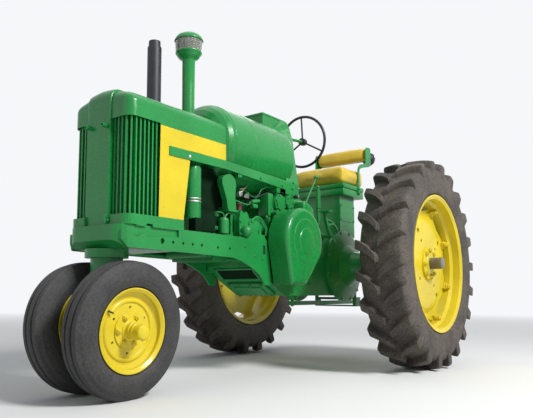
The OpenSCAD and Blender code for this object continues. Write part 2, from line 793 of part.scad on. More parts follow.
// Pressed cover over the flywheel, open along its lower rear edge
module flywheel_cover() color(GREEN) on_frame() translate([crank_x, 0, crank_z]) difference() {
    rim_y = cover_face - 40;
    union() {
        side_plate(cover_outline(0), cover_back, rim_y);
        hull() {
            cover_slice(0, rim_y - 1);
            cover_slice(6, rim_y + 14);
        }
        hull() {
            cover_slice(6, rim_y + 14);
            cover_slice(26, cover_face - 11);
        }
        turned([[0, rim_y], [174, rim_y], [174, cover_face - 10], [162, cover_face - 4], [0, cover_face - 4]]);
        turned([[0, rim_y], [92, rim_y], [92, cover_face - 4], [82, cover_face], [0, cover_face]]);
        // lip with a lug on the crown
        block([-60, rim_y - 60, cover_r - 14], [20, rim_y - 10, cover_r + 40]);
    }
    side_plate(cover_outline(4), cover_back - 1, rim_y + 8);
    // the open edge that shows the flywheel's rim
    side_plate([[-240, -76], [-186, -96], [-2, -278], [-2, -320], [-240, -320]],
        cover_back - 1, rim_y - 20);
}

// Round flanges, tapered housings and their ends
module axle_housings() color(GREEN) placed() {
    for (side = [1, -1]) sided(side) translate([0, 0, axle_z]) turned([
        [0, case_y], [final_r, case_y], [final_r, case_y + 22], [final_r - 18, case_y + 30],
        [170, case_y + 60], [112, case_y + 120], [100, case_y + 180], [84, housing_end - 40],
        [96, housing_end - 30], [96, housing_end], [axle_shaft_r + running_gap, housing_end],
        [axle_shaft_r + running_gap, housing_end - 80], [0, housing_end - 80]
    ]);
}

module lift_housing() color(GREEN) on_case() {
    block([case_back, -175, 930], [110, 175, 1025]);
    translate([-190, 0, 980]) {
        bar_y(30, -case_y + 5, case_y - 5);
        for (y = [-case_y + 4, case_y - 24]) translate([0, y, 0]) rotate([0, -10, 0])
            block([-150, 0, -22], [0, 20, 22]);
    }
}

// Battery box between the lift and the seat, with its raised side lids
module battery_box() color(GREEN) on_case() {
    block([-255, -200, 1025], [0, 200, tray_top - tray_h]);
    block([-250, -180, tray_top - tray_h - 1], [-10, 180, tray_top - sheet]);
    for (side = [1, -1]) sided(side) block([-252, 199, 1153], [-4, 204, 1297]);
}

// Pressed tray under the cushion, the backrest's posts and its cross plate
module seat_frame() color(GREEN) on_case() {
    low = tray_top - tray_h;
    difference() {
        side_plate([
            [tray_back, low], [-20, low], [tray_front, low + 12], [tray_front, tray_top],
            [tray_back, tray_top]
        ], -tray_y, tray_y);
        block([tray_back + sheet, -tray_y + sheet, low - 1],
              [tray_front - sheet, tray_y - sheet, tray_top - sheet]);
    }
    for (side = [1, -1]) sided(side) {
        side_plate([
            [tray_back, low + 30], [tray_back + 26, low + 30], [tray_back + 26, 1690],
            [tray_back - 84, 1860], [tray_back - 134, 1860], [tray_back - 134, 1740],
            [tray_back, 1680]
        ], tray_y, tray_y + 8);
    }
    block([tray_back - 134, -tray_y - 8, back_z + 10], [tray_back - 128, tray_y + 8, back_z + back_h - 10]);
}

module seat_cushion() color(VINYL) on_case()
    block([tray_back + 16, -225, tray_top + seat_gap], [tray_front - 2, 225, tray_top + cushion_h]);

module seat_back() color(VINYL) on_case()
    block([tray_back - 128 + seat_gap, -tray_y + 1, back_z], [tray_back - 29, tray_y - 1, back_z + back_h]);

module rear_lamp() color(SOOT) on_case() translate([tray_back - 134, tray_y + 35, 1795]) {
    bar_x(lamp_r, -30, -seat_gap);
    rotate([0, -90, 0]) rotate_extrude() polygon(concat([[0, 28]],
        [for (a = [0 : 18 : 90]) [lamp_r * cos(a), 29 + 30 * sin(a)]]));
}

// Clutch lever with its ball, and the throttle's stepped tube
module hand_levers() color(GREEN) on_case() {
    foot = [along(0.813), slope_z(0.813) + 57];
    knob = [foot[0] - 190, 1464];
    translate([foot[0], 185, foot[1]]) rotate([0, atan2(knob[0] - foot[0], knob[1] - foot[1]), 0])
        cylinder(r = 6, h = norm(knob - foot));
    translate([knob[0], 185, knob[1]]) sphere(r = 18);
    side_plate([
        [along(0.789), slope_z(0.789)], [along(0.838), slope_z(0.838)],
        [along(0.838), foot[1] + 17], [along(0.789), foot[1] + 17]
    ], 170, 200);
    translate([along(0.385), 180, 0]) {
        bar_z(12, slope_z(0.408) + seat_gap, 1120);
        bar_z(15, 1114, 1220);
        bar_z(19, 1220, 1360);
        bar_z(12, 1360, 1383);
        translate([0, 0, 1392]) sphere(r = 14);
    }
}

// Bent pedal arms with their pads, on stub shafts out of the case
module pedals() color(GREEN) on_case() {
    foot_x = along(0.404);
    arm = [
        [-18, 990], [18, 985], [58, 1040], [90, 1115], [100, 1170], [80, 1170], [68, 1120],
        [38, 1056]
    ];
    for (side = [1, -1]) sided(side) translate([foot_x, 0, 0]) {
        side_plate(arm, case_y + 70, case_y + 90);
        block([60, case_y + 40, 1168], [112, case_y + 130, 1180]);
        translate([0, 0, 992]) bar_y(14, case_y, case_y + 95);
        translate([0, 0, 992]) bar_y(24, case_y, case_y + 18);
    }
}

// Guide that the drawbar swings in, with a slotted face and a row of pin holes behind it
module drawbar_support() color(GREEN) on_case() {
    x0 = case_back - 85;
    x1 = case_back - 12;
    low = drawbar_z - 18;
    top = drawbar_z + 49;
    slot_y = guide_y - 33;
    difference() {
        union() {
            for (z = [low, top]) block([x0, -guide_y, z], [x1, guide_y, z + 12]);
            block([x1 - 10, -guide_y, low], [x1, guide_y, top + 12]);
            for (side = [1, -1]) sided(side) {
                block([x0, guide_y - 12, low], [x1, guide_y, top + 12]);
                block([x1, guide_y - 30, low], [case_back, guide_y, 700]);
            }
        }
        block([x1 - 11, -slot_y, low + 12], [x1 + 1, slot_y, drawbar_z + drawbar_t + 8]);
        for (i = [-3 : 3]) translate([x0 + 22, i * 48, 0]) bar_z(9, low - 1, top + 13);
        for (side = [1, -1]) translate([0, side * (guide_y - 15), top - 22]) bar_x(9, x1 - 11, x1 + 1);
    }
}

module pto_shaft() color(STEEL) on_case() translate([0, 0, 700]) {
    bar_x(pto_r, case_back - 80, case_back);
    bar_x(45, case_back - 14, case_back);
}

module drawbar() color(GREEN) on_case() {
    z0 = drawbar_z;
    z1 = drawbar_z + drawbar_t;
    end_x = -drawbar_reach + drawbar_w / 2;
    difference() {
        union() {
            block([end_x, -drawbar_w / 2, z0], [drawbar_pin_x, drawbar_w / 2, z1]);
            for (x = [end_x, drawbar_pin_x]) translate([x, 0, 0]) bar_z(drawbar_w / 2, z0, z1);
        }
        translate([-drawbar_reach + 40, 0, 0]) bar_z(drawbar_hole_r, z0 - 1, z1 + 1);
        translate([drawbar_pin_x, 0, 0]) bar_z(drawbar_pin_r + running_gap, z0 - 1, z1 + 1);
    }
}

// Crowned drum on the crankshaft's right end
module belt_pulley() color(GREEN) on_frame() translate([crank_x, 0, crank_z]) rotate([180, 0, 0]) {
    y0 = case_y + 60;
    turned([
        [40 + running_gap, y0], [80, y0], [80, y0 + 80], [pulley_r - 14, y0 + 95],
        [pulley_r - 14, y0], [pulley_r - 3, y0], [pulley_r, y0 + pulley_w / 2],
        [pulley_r - 3, y0 + pulley_w], [pulley_r - 14, y0 + pulley_w], [pulley_r - 14, y0 + 110],
        [80, y0 + 100], [80, y0 + 150], [40 + running_gap, y0 + 150]
    ]);
}

module steering_wheel() color(SOOT) on_case() at_column() {
    rim = steering_rim / 2;
    rotate([0, 90, 0]) {
        rotate_extrude() translate([steering_wheel_r - rim, 0]) circle(r = rim);
        difference() {
            cylinder(r = 30, h = 40, center = true);
            cylinder(r = column_r, h = 42, center = true);
        }
        for (a = [60, 180, 300]) rotate([0, 90, a]) translate([0, 0, 26])
            cylinder(r = 7, h = steering_wheel_r - rim - 26);
    }
}

module steering_shaft() color(GREEN) on_case() at_column()
    bar_x(column_r, -20, (dash_x + ahead - column_x - 2) / cos(column_tilt));

// Kingpin, the cast knuckle under the pedestal and its two spindles
module knuckle() color(GREEN) placed() {
    shoulder = pedestal_z + lift - seat_gap;
    translate([wheelbase, 0, 0]) {
        bar_z(kingpin_r, shoulder - 20, rail_low + lift + 55);
        bar_z(pedestal_r - 2, shoulder - 25, shoulder);
        translate([0, 0, pivot_z]) cylinder(r1 = 66, r2 = 60, h = shoulder - 20 - pivot_z);
        translate([0, 0, pivot_z]) sphere(r = 68);
    }
    for (side = [1, -1]) sided(side) at_front_wheel() {
        bar_y(40, -spindle_out, -front_rim_w / 2 - 5);
        bar_y(spindle_r, -front_rim_w / 2 - 6, 80);
    }
}

module front_tyre() color(RUBBER) at_front_wheel() {
    half = front_tyre_w / 2;
    bead = front_rim_w / 2 - 14;
    groove_r = front_tyre_r - front_groove;
    side = [
        [front_seat_r + seat_gap, bead], [front_rim_r + 3, bead], [front_rim_r + 8, half * 0.88],
        [front_rim_r + 50, half], [groove_r - 35, half * 0.96], [groove_r - 8, half * 0.74],
        [front_tyre_r - 6, half * 0.62], [front_tyre_r - 2, front_rib + 12],
        [groove_r, front_rib + 10], [groove_r, front_rib + 2], [front_tyre_r, front_rib]
    ];
    last = len(side) - 1;
    turned(concat(side, [for (i = [last : -1 : 0]) [side[i][0], -side[i][1]]]));
}

// Rim with a deep well, disc with a raised ring, hub with its flange, barrel and cap
module front_wheel() color(YELLOW) at_front_wheel() {
    y = front_rim_w / 2;
    r = front_rim_r;
    s = front_seat_r;
    t = wheel_plate / 2;
    well = s - 24;
    difference() {
        union() {
            turned([
                [r, -y], [r, -y + t], [s, -y + 14], [s, -22], [well, -12], [well, 20], [s, 30],
                [s, y - 14], [r, y - t], [r, y], [r - 6, y], [s - t - 1, y - 12], [s - t, 34],
                [well - t, 24], [162, 24], [156, 33], [146, 33], [140, 25], [95, 25], [95, 17],
                [140, 17], [146, 22], [156, 22], [162, 14], [well - t, 8], [well - t, -16],
                [s - t, -26], [s - t - 1, -y + 12], [r - 6, -y]
            ]);
            turned([
                [spindle_r + running_gap, -y - 4], [42, -y - 4], [50, 10], [96, 18], [96, 32],
                [60, 36], [54, 44], [46, 48], [46, 72], [cap_r + 2, 74], [cap_r, 84],
                [cap_r, cap_reach - 8], [cap_r - 8, cap_reach], [0, cap_reach], [0, 84],
                [spindle_r + running_gap, 84]
            ]);
            for (i = [0 : front_bolts - 1]) rotate([0, i * 360 / front_bolts, 0])
                translate([76, 0, 0]) bar_y(10, 25, 46);
        }
        for (i = [0 : front_bolts - 1]) rotate([0, (i + 0.5) * 360 / front_bolts, 0])
            translate([118, 0, 0]) bar_y(7, -20, 60);
    }
}

// Ends of a lug, at the tread's middle and at its shoulder: share of the half width, drop
// below the tips, degrees behind the leading end, share of the lug's width, depth
LUG = [[0.04, 0, 0, 1.0, 45], [0.9, 14, 12.5, 1.12, 55]];

module lug_slice(row) {
    width = lug_w * row[3];
    rotate([0, -row[2], 0])
        translate([-width / 2, row[0] * rear_half - 3, lug_face_r - row[1] - row[4]])
            cube([width, 6, row[4]]);
}

module lugs() {
    for (side = [1, -1]) sided(side) for (i = [0 : lug_count - 1])
        rotate([0, 180 + (i + (side > 0 ? 0 : 0.5)) * 360 / lug_count, 0])
            hull() for (row = LUG) lug_slice(row);
}

module rear_tyre() color(RUBBER) at_rear_wheel() {
    bead = rear_rim_y - 16;
    wall = carcass_r - rear_rim_r;
    flat = cos(180 / tyre_facets);
    side = [
        [(rear_seat_r + seat_gap) / flat, bead], [rear_rim_r + 8, bead],
        [rear_rim_r + wall * 0.5, rear_half], [carcass_r - 30, rear_half * 0.95],
        [carcass_r - 4, rear_half * 0.78]
    ];
    last = len(side) - 1;
    rotate([-90, 0, 0]) rotate_extrude($fn = tyre_facets)
        polygon(concat(side, [for (i = [last : -1 : 0]) [side[i][0], -side[i][1]]]));
    lugs();
}

// Rim, a disc whose corners reach out to the clamps, and the hub on the axle shaft
module rear_wheel() color(YELLOW) at_rear_wheel() {
    y = rear_rim_y;
    r = rear_rim_r;
    s = rear_seat_r;
    t = wheel_plate;
    disc_y = 32;
    well = s - 24;
    step = 360 / clamp_count;
    lobe = 5.5;
    flat = rear_disc_r - 52;
    disc = [for (i = [0 : clamp_count - 1], d = [-lobe, lobe, step / 2])
        (d < step / 2 ? rear_disc_r : flat) * [cos((i + 0.5) * step + d), sin((i + 0.5) * step + d)]];
    difference() {
        union() {
            turned([
                [r, -y], [r, -y + 7], [s, -y + 16], [s - 3, -84], [well, -66], [well, 66],
                [s - 3, 84], [s, y - 16], [r, y - 7], [r, y], [r - 8, y], [s - t + 1, y - 12],
                [s - 3 - t, 88], [well - t, 70], [well - t, -70], [s - 3 - t, -88],
                [s - t + 1, -y + 12], [r - 8, -y]
            ]);
            translate([0, disc_y - 12, 0]) rotate([-90, 0, 0]) linear_extrude(t) difference() {
                polygon(disc);
                circle(r = 60);
            }
            turned([
                [70, disc_y - 12], [376, disc_y - 12], [366, disc_y - 2], [330, disc_y + 18],
                [300, disc_y + 24], [160, disc_y + 27], [70, disc_y + 27]
            ]);
            turned([
                [axle_shaft_r + seat_gap, -45], [68, -45], [72, disc_y - 14],
                [rear_hub_r, disc_y - 14], [rear_hub_r, disc_y + 42], [78, disc_y + 44],
                [74, 82], [axle_shaft_r + seat_gap, 82]
            ]);
            for (i = [0 : clamp_count - 1]) rotate([0, (i + 0.5) * step, 0]) {
                block([rear_disc_r - 40, disc_y - 12, -26], [well - 4, disc_y + 14, 26]);
                translate([rear_disc_r - 22, 0, 0]) bar_y(13, disc_y, disc_y + 26);
            }
            for (i = [0 : 7]) rotate([0, i * 45, 0]) translate([102, 0, 0])
                bar_y(13, disc_y + 40, disc_y + 58);
        }
        for (i = [0 : 3]) rotate([0, i * 90 + 35, 0]) {
            translate([290, 0, 0]) bar_y(20, -20, 90);
            translate([200, 0, 0]) bar_y(13, -20, 90);
        }
    }
}

module axle_shaft() color(STEEL) difference() {
    translate([0, 0, axle_z]) bar_y(axle_shaft_r, housing_end - 78, rear_tread / 2 + axle_reach);
    translate([0, 0, axle_z]) block([-9, rear_tread / 2 + 90, axle_shaft_r - 9],
        [9, rear_tread / 2 + axle_reach + 1, axle_shaft_r + 1]);
}

module front_tyre_left() placed() front_tyre();
module front_tyre_right() placed() sided(-1) front_tyre();
module front_wheel_left() placed() front_wheel();
module front_wheel_right() placed() sided(-1) front_wheel();
module rear_tyre_left() placed() rear_tyre();
module rear_tyre_right() placed() sided(-1) rear_tyre();
module rear_wheel_left() placed() rear_wheel();
module rear_wheel_right() placed() sided(-1) rear_wheel();
module axle_shaft_left() placed() axle_shaft();
module axle_shaft_right() placed() sided(-1) axle_shaft();

front_support();
steering_pedestal();
frame_rails();
grille();
hood();
side_panels();
radiator();
fan_drive();
fuel_tank();
tank_rails();
valve_cover();
cowl();
air_stack();
precleaner_bowl();
exhaust_stack();
exhaust_manifold();
air_cleaner();
engine_block();
main_case();
governor();
fuel_mixer();
fuel_filter();
hydraulic_pump();
flywheel();
flywheel_cover();
axle_housings();
lift_housing();
battery_box();
seat_frame();
seat_cushion();
seat_back();
rear_lamp();
hand_levers();
pedals();
drawbar_support();
pto_shaft();
drawbar();
fan();
belt_pulley();
steering_wheel();
steering_shaft();
knuckle();
front_tyre_left();
front_tyre_right();
front_wheel_left();
front_wheel_right();
rear_tyre_left();
rear_tyre_right();
rear_wheel_left();
rear_wheel_right();
axle_shaft_left();
axle_shaft_right();
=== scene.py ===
import math
import bpy
from mathutils import Matrix, Vector


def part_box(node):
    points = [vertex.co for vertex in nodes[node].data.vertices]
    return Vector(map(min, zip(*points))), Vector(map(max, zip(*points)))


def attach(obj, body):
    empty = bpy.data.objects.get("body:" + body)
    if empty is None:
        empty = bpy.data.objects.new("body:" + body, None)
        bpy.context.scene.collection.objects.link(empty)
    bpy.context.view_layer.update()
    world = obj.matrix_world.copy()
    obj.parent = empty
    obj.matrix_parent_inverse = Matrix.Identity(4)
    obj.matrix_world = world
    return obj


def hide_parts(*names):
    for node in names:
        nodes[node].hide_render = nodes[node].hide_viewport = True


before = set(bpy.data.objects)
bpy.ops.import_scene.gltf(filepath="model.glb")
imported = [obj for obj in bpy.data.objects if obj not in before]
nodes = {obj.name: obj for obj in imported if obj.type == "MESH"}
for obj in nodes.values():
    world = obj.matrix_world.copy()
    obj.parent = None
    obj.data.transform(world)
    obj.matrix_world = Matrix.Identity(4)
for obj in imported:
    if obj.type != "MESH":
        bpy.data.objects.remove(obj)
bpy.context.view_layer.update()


# ---- Viewpoint. The tractor is seen from its left front and from low down, a little below
# the height of the rear axle, so that the nose stands against the background.
eye = Vector((3.3761, 2.4973, 0.5525))
heading = math.radians(-140.66)
rise = math.radians(6.34)
roll = math.radians(0.16)
camera_data = bpy.data.cameras.new("camera")
camera = bpy.data.objects.new("camera", camera_data)
bpy.context.scene.collection.objects.link(camera)
bpy.context.scene.camera = camera
camera_data.sensor_width = 36
camera_data.lens = 39.05
camera_data.shift_x = 0.0771
camera_data.shift_y = 0.0362
turn = (Matrix.Rotation(heading - math.pi / 2, 4, "Z") @ Matrix.Rotation(math.pi / 2 + rise, 4, "X")
        @ Matrix.Rotation(roll, 4, "Z"))
camera.matrix_world = Matrix.Translation(eye) @ turn


# ---- Light. A broad key from the left, a soft fill from the other side and a pale sky all
# round, level enough for the paint to keep its own colour.
scene = bpy.context.scene
scene.view_settings.view_transform = "Standard"


def lamp(name, place, aim, size, power):
    """A square soft lamp at a place, turned towards a point."""
    data = bpy.data.lights.new(name, "AREA")
    data.size = size
    data.energy = power
    light = bpy.data.objects.new(name, data)
    scene.collection.objects.link(light)
    light.location = place
    light.rotation_euler = (Vector(aim) - Vector(place)).to_track_quat("-Z", "Y").to_euler()


lamp("key", (0.5, 6.5, 5.9), (0.1, 0.2, 0.8), 1.8, 770)
lamp("fill", (7.5, -2.5, 3.2), (0.8, 0, 1.0), 4.0, 30)
lamp("top", (-0.5, -0.5, 7.5), (0, 0, 1.0), 5.0, 60)
lamp("back", (-6.5, -3.5, 4.5), (0, 0, 1.0), 4.0, 60)


def feed(tree, node, inputs):
    """Sets a node's inputs, each to a value or to what another node gives."""
    for socket, source in inputs.items():
        if isinstance(source, bpy.types.NodeSocket):
            tree.links.new(source, node.inputs[socket])
        else:
            node.inputs[socket].default_value = source


def add(tree, kind, inputs, **settings):
    """Adds a shader node with its settings and inputs, and returns its outputs."""
    node = tree.nodes.new("ShaderNode" + kind)
    for key, value in settings.items():
        setattr(node, key, value)
    feed(tree, node, inputs)
    return node.outputs


def seen_directly(tree):
    """1 for what the eye, a shine or a glass sees, 0 for the light that falls on things."""
    ray = add(tree, "LightPath", {})
    total = ray["Is Camera Ray"]
    for kind in ("Is Glossy Ray", "Is Transmission Ray"):
        total = add(tree, "Math", {0: total, 1: ray[kind]}, operation="MAXIMUM")[0]
    return total


backdrop = (0.92, 0.93, 0.95, 1)
world = bpy.data.worlds.new("sky")
scene.world = world
world.use_nodes = True
sky = world.node_tree
sky.nodes.clear()
shown = add(sky, "Background", {"Color": backdrop, "Strength": 1.0})[0]
soft = add(sky, "Background", {"Color": (0.86, 0.92, 1.0, 1), "Strength": 0.3})[0]
either = add(sky, "MixShader", {"Fac": seen_directly(sky), 1: soft, 2: shown})[0]
add(sky, "OutputWorld", {"Surface": either})


# ---- Floor. A plain pale studio floor that the four tyres stand on. Seen by the camera, it
# fades into the background far off, as a studio's sweep does.
def new_finish(name):
    """A material, its node tree and its shader."""
    made = bpy.data.materials.new(name)
    made.use_nodes = True
    return made, made.node_tree, made.node_tree.nodes["Principled BSDF"]


def spread(tree, value, low, high, to_low, to_high):
    """Stretches one range of a value onto another."""
    return add(tree, "MapRange", {"Value": value, "From Min": low, "From Max": high,
                                  "To Min": to_low, "To Max": to_high})["Result"]


bpy.ops.object.select_all(action="DESELECT")
bpy.ops.mesh.primitive_plane_add(size=60, location=(0, 0, 0))
floor = bpy.context.object
floor.name = "floor"
pale, tree, shader = new_finish("pale_floor")
feed(tree, shader, {"Base Color": (0.74, 0.74, 0.73, 1), "Roughness": 0.85})
fade_start, fade_end = 4.0, 13.0
far_off = add(tree, "VectorMath", {0: add(tree, "TexCoord", {})["Object"]}, operation="LENGTH")["Value"]
faded = add(tree, "Math", {0: spread(tree, far_off, fade_start, fade_end, 0, 1), 1: seen_directly(tree)},
            operation="MULTIPLY")[0]
glow = add(tree, "Emission", {"Color": backdrop})[0]
blend = add(tree, "MixShader", {"Fac": faded, 1: shader.outputs[0], 2: glow})[0]
feed(tree, tree.nodes["Material Output"], {"Surface": blend})
floor.data.materials.append(pale)


# ---- Green castings and sheet metal. Everything but the wheels, tyres and seat is sprayed
# with one bright green enamel, over rough iron on the castings and smooth sheet on the hood.
def speckle(tree, scale, detail=2, roughness=0.5):
    """Clouds or specks that lie still on a piece."""
    return add(tree, "TexNoise", {"Vector": add(tree, "TexCoord", {})["Object"], "Scale": scale,
                                  "Detail": detail, "Roughness": roughness})["Fac"]


def ramp(tree, value, low, dark, high, light):
    """Turns a value into a colour between two, each at its own place on a ramp."""
    made = tree.nodes.new("ShaderNodeValToRGB")
    for end, place, colour in zip(made.color_ramp.elements, (low, high), (dark, light)):
        end.position = place
        end.color = (*colour, 1)
    feed(tree, made, {"Fac": value})
    return made.outputs["Color"]


def mixed(tree, share, under, over):
    """Lays one colour over another by a share."""
    return add(tree, "Mix", {"Factor": share, "A": under, "B": over}, data_type="RGBA")["Result"]


def rounded(tree, radius):
    """A normal that runs round the edges of the shape."""
    return add(tree, "Bevel", {"Radius": radius}, samples=4)["Normal"]


def worn_and_highlit_edges(tree, normal, whole, bare, amount):
    """Finds the edges, where the rounded normal leaves the flat one, to be painted paler by an amount: wear,
    and on the enamel a painted highlight as well.
    """
    flat = add(tree, "NewGeometry", {})["Normal"]
    angle = add(tree, "VectorMath", {0: normal, 1: flat}, operation="DOT_PRODUCT")["Value"]
    return spread(tree, angle, whole, bare, 0, amount)


def bumps(tree, height, strength, depth, normal=None):
    """Raises the surface by a pattern, over a rounded normal if one is given."""
    inputs = {"Height": height, "Strength": strength, "Distance": depth}
    return add(tree, "Bump", {**inputs, "Normal": normal} if normal else inputs)["Normal"]


def enamel(name, colour, grain, gloss, dust):
    """Sprayed enamel: broad fading, dust on upward faces, paler edges that are partly wear and partly a
    painted highlight, the metal's grain.
    """
    paint, tree, shader = new_finish(name)
    faded = ramp(tree, speckle(tree, 2.6, 6), 0.32, [c * 0.82 for c in colour],
                 0.68, [min(1, c * 1.1) for c in colour])
    edge = rounded(tree, 0.003)
    # the edges are painted paler: partly wear, partly a painted highlight where light catches them
    worn_and_highlit = mixed(tree, worn_and_highlit_edges(tree, edge, 0.985, 0.8, 0.55), faded,
                 (*[min(1, c * 1.25 + 0.05) for c in colour], 1))
    upward = add(tree, "SeparateXYZ", {0: add(tree, "NewGeometry", {})["Normal"]})["Z"]
    specks = speckle(tree, 38, 8)
    settled = add(tree, "Math", {0: upward, 1: specks}, operation="MULTIPLY")[0]
    dusty = mixed(tree, spread(tree, settled, 0.38, 0.75, 0, dust), worn_and_highlit, (0.42, 0.4, 0.33, 1))
    feed(tree, shader, {"Base Color": dusty, "Roughness": spread(tree, specks, 0.3, 0.7, gloss, gloss + 0.16),
                        "Coat Weight": 0.12, "Coat Roughness": 0.08, "Specular IOR Level": 0.36,
                        "Normal": bumps(tree, speckle(tree, 260, 3), grain, 0.001, edge)})
    return paint


def coat(names, paint):
    """Gives one finish to several CAD nodes."""
    for name in names:
        nodes[name].data.materials.clear()
        nodes[name].data.materials.append(paint)


green = (0.01, 0.225, 0.045)
sheet_green = enamel("sheet_green", green, 0.03, 0.2, 0.08)
cast_green = enamel("cast_green", green, 0.16, 0.28, 0.25)
coat(["hood", "grille", "fuel_tank", "tank_rails", "valve_cover", "cowl", "air_stack", "air_cleaner",
      "battery_box", "seat_frame", "flywheel_cover", "fan"], sheet_green)
coat(["front_support", "steering_pedestal", "frame_rails", "radiator", "fan_drive", "engine_block",
      "main_case", "governor", "fuel_mixer", "fuel_filter", "hydraulic_pump", "axle_housings", "lift_housing",
      "hand_levers", "pedals", "drawbar_support", "drawbar", "belt_pulley", "steering_shaft", "knuckle"],
     cast_green)


# ---- Hood. One deep-drawn sheet, rounded at the front and along its shoulders and crowned
# across, with an opening in front for the bars of the grille. Rings close it round the stacks.
def only(piece):
    """Leaves one piece selected and active."""
    bpy.ops.object.select_all(action="DESELECT")
    piece.select_set(True)
    bpy.context.view_layer.objects.active = piece


def settle(piece, name):
    """Puts a piece's place into its mesh and leaves its object at the origin."""
    only(piece)
    bpy.ops.object.transform_apply(location=True, rotation=True, scale=True)
    piece.name = name
    piece.data.name = name
    return piece


def box(low, high, name):
    """A box between two corners, as a start for a piece."""
    low, high = Vector(low), Vector(high)
    bpy.ops.object.select_all(action="DESELECT")
    bpy.ops.mesh.primitive_cube_add(size=1, location=(low + high) / 2, scale=high - low)
    return settle(bpy.context.object, name)


def pick(piece, test, kind="EDGE"):
    """Selects the edges or faces whose list of corners passes the test, in edit mode."""
    only(piece)
    bpy.ops.object.mode_set(mode="EDIT")
    bpy.ops.mesh.select_mode(type=kind)
    bpy.ops.mesh.select_all(action="DESELECT")
    bpy.ops.object.mode_set(mode="OBJECT")
    corners = piece.data.vertices
    for part in (piece.data.edges if kind == "EDGE" else piece.data.polygons):
        part.select = test([corners[i].co for i in part.vertices])
    bpy.ops.object.mode_set(mode="EDIT")


def round_edges(piece, test, radius, steps):
    """Rounds the edges whose two ends pass the test."""
    pick(piece, test)
    bpy.ops.mesh.bevel(offset=radius, segments=steps, affect="EDGES", clamp_overlap=False)
    bpy.ops.object.mode_set(mode="OBJECT")


def drop_faces(piece, test):
    """Deletes the faces whose corners pass the test."""
    pick(piece, test, "FACE")
    bpy.ops.mesh.delete(type="FACE")
    bpy.ops.object.mode_set(mode="OBJECT")


def edit_all(piece, action, **settings):
    """Does one thing to the whole of a piece in edit mode."""
    only(piece)
    bpy.ops.object.mode_set(mode="EDIT")
    bpy.ops.mesh.select_all(action="SELECT")
    action(**settings)
    bpy.ops.object.mode_set(mode="OBJECT")


def outward(piece):
    """Makes every face of a piece point outward."""
    edit_all(piece, bpy.ops.mesh.normals_make_consistent, inside=False)


def split_across(piece, place, facing):
    """Cuts new edges into a whole piece along a plane."""
    edit_all(piece, bpy.ops.mesh.bisect, plane_co=place, plane_no=facing)


def modify(piece, kind, **settings):
    """Adds a modifier with these settings and applies it."""
    only(piece)
    change = piece.modifiers.new(kind.lower(), kind)
    for key, value in settings.items():
        setattr(change, key, value)
    bpy.ops.object.modifier_apply(modifier=change.name)


def soften(piece, radius, steps=2, sharper_than=50):
    """Rounds every edge of a piece that is sharper than an angle."""
    modify(piece, "BEVEL", width=radius, segments=steps, limit_method="ANGLE",
           angle_limit=math.radians(sharper_than))
    return piece


def smooth(piece, degrees=35):
    """Shades smooth over edges flatter than an angle."""
    only(piece)
    bpy.ops.object.shade_smooth_by_angle(angle=math.radians(degrees))
    return piece


def dress(piece, paint, body="tractor", instead_of=None):
    """Paints a piece, hangs it on its body and hides the node it stands for."""
    piece.data.materials.clear()
    piece.data.materials.append(paint)
    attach(piece, body)
    if instead_of:
        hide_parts(instead_of)


def from_points(points, edges, faces, name):
    """A bare mesh, as a start for a piece."""
    start = bpy.data.meshes.new(name)
    start.from_pydata(points, edges, faces)
    piece = bpy.data.objects.new(name, start)
    scene.collection.objects.link(piece)
    return piece


def spun(profile, steps, name, place=(0, 0, 0), facing=(0, 0, 1), closed=False, shade=35):
    """Turns a profile of radius and height, in millimetres, round an axis that stands at a place."""
    count = len(profile)
    edges = [(i, i + 1) for i in range(count - 1)] + ([(count - 1, 0)] if closed else [])
    piece = from_points([(r / 1000, 0, h / 1000) for r, h in profile], edges, [], name)
    edit_all(piece, bpy.ops.mesh.spin, steps=steps, angle=2 * math.pi, center=(0, 0, 0), axis=(0, 0, 1))
    edit_all(piece, bpy.ops.mesh.remove_doubles, threshold=0.00002)
    outward(piece)
    lean = Vector(facing).to_track_quat("Z", "Y").to_matrix().to_4x4()
    piece.data.transform(Matrix.Translation(Vector(place)) @ lean)
    return smooth(piece, shade) if shade else piece


axle_x = sum(corner.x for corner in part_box("rear_wheel_left")) / 2


def at(x, y, z):
    """A place given in millimetres ahead of the rear axle, left of the middle, above the floor."""
    return Vector((axle_x + x / 1000, y / 1000, z / 1000))


near = 0.0005
low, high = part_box("hood")
cap_low = at(0, 0, 1484).z
side_front = at(2133, 0, 0).x
front = high.x - 0.01
top = high.z - 0.009
corner_r = 0.059


def crown(y):
    """How far the hood's top lies below its middle."""
    return 0.05 * (abs(y) / 0.245) ** 1.7


def crown_over(piece, foot, head):
    """Lowers a piece's top towards its sides by the hood's crown, fading to nothing at its foot."""
    for corner in piece.data.vertices:
        if corner.co.z > foot:
            corner.co.z -= crown(corner.co.y) * (corner.co.z - foot) / (head - foot)


hood = box((low.x, low.y, low.z), (front, high.y, top), "hood_shell")
round_edges(hood, lambda c: (all(p.x > front - near for p in c) and all(p.z > top - near for p in c))
            or (all(p.x > front - near for p in c) and abs(c[0].z - c[1].z) > 0.1)
            or (all(p.z > top - near for p in c) and abs(c[0].x - c[1].x) > 0.1), corner_r, 10)
drop_faces(hood, lambda c: all(p.z < low.z + near for p in c) or all(p.x < low.x + near for p in c))
for line in (0, 0.03, 0.06, 0.097, 0.13, 0.16):
    for side in (1, -1):
        split_across(hood, (0, side * line, 0), (0, 1, 0))
split_across(hood, (0, 0, cap_low), (0, 0, 1))
split_across(hood, (side_front, 0, 0), (1, 0, 0))
drop_faces(hood, lambda c: all(p.z < cap_low + near and p.x > side_front - near for p in c))
crown_over(hood, cap_low, top)
outward(hood)
modify(hood, "SOLIDIFY", thickness=0.003, offset=-1)
dress(smooth(hood, 38), sheet_green, instead_of="hood")

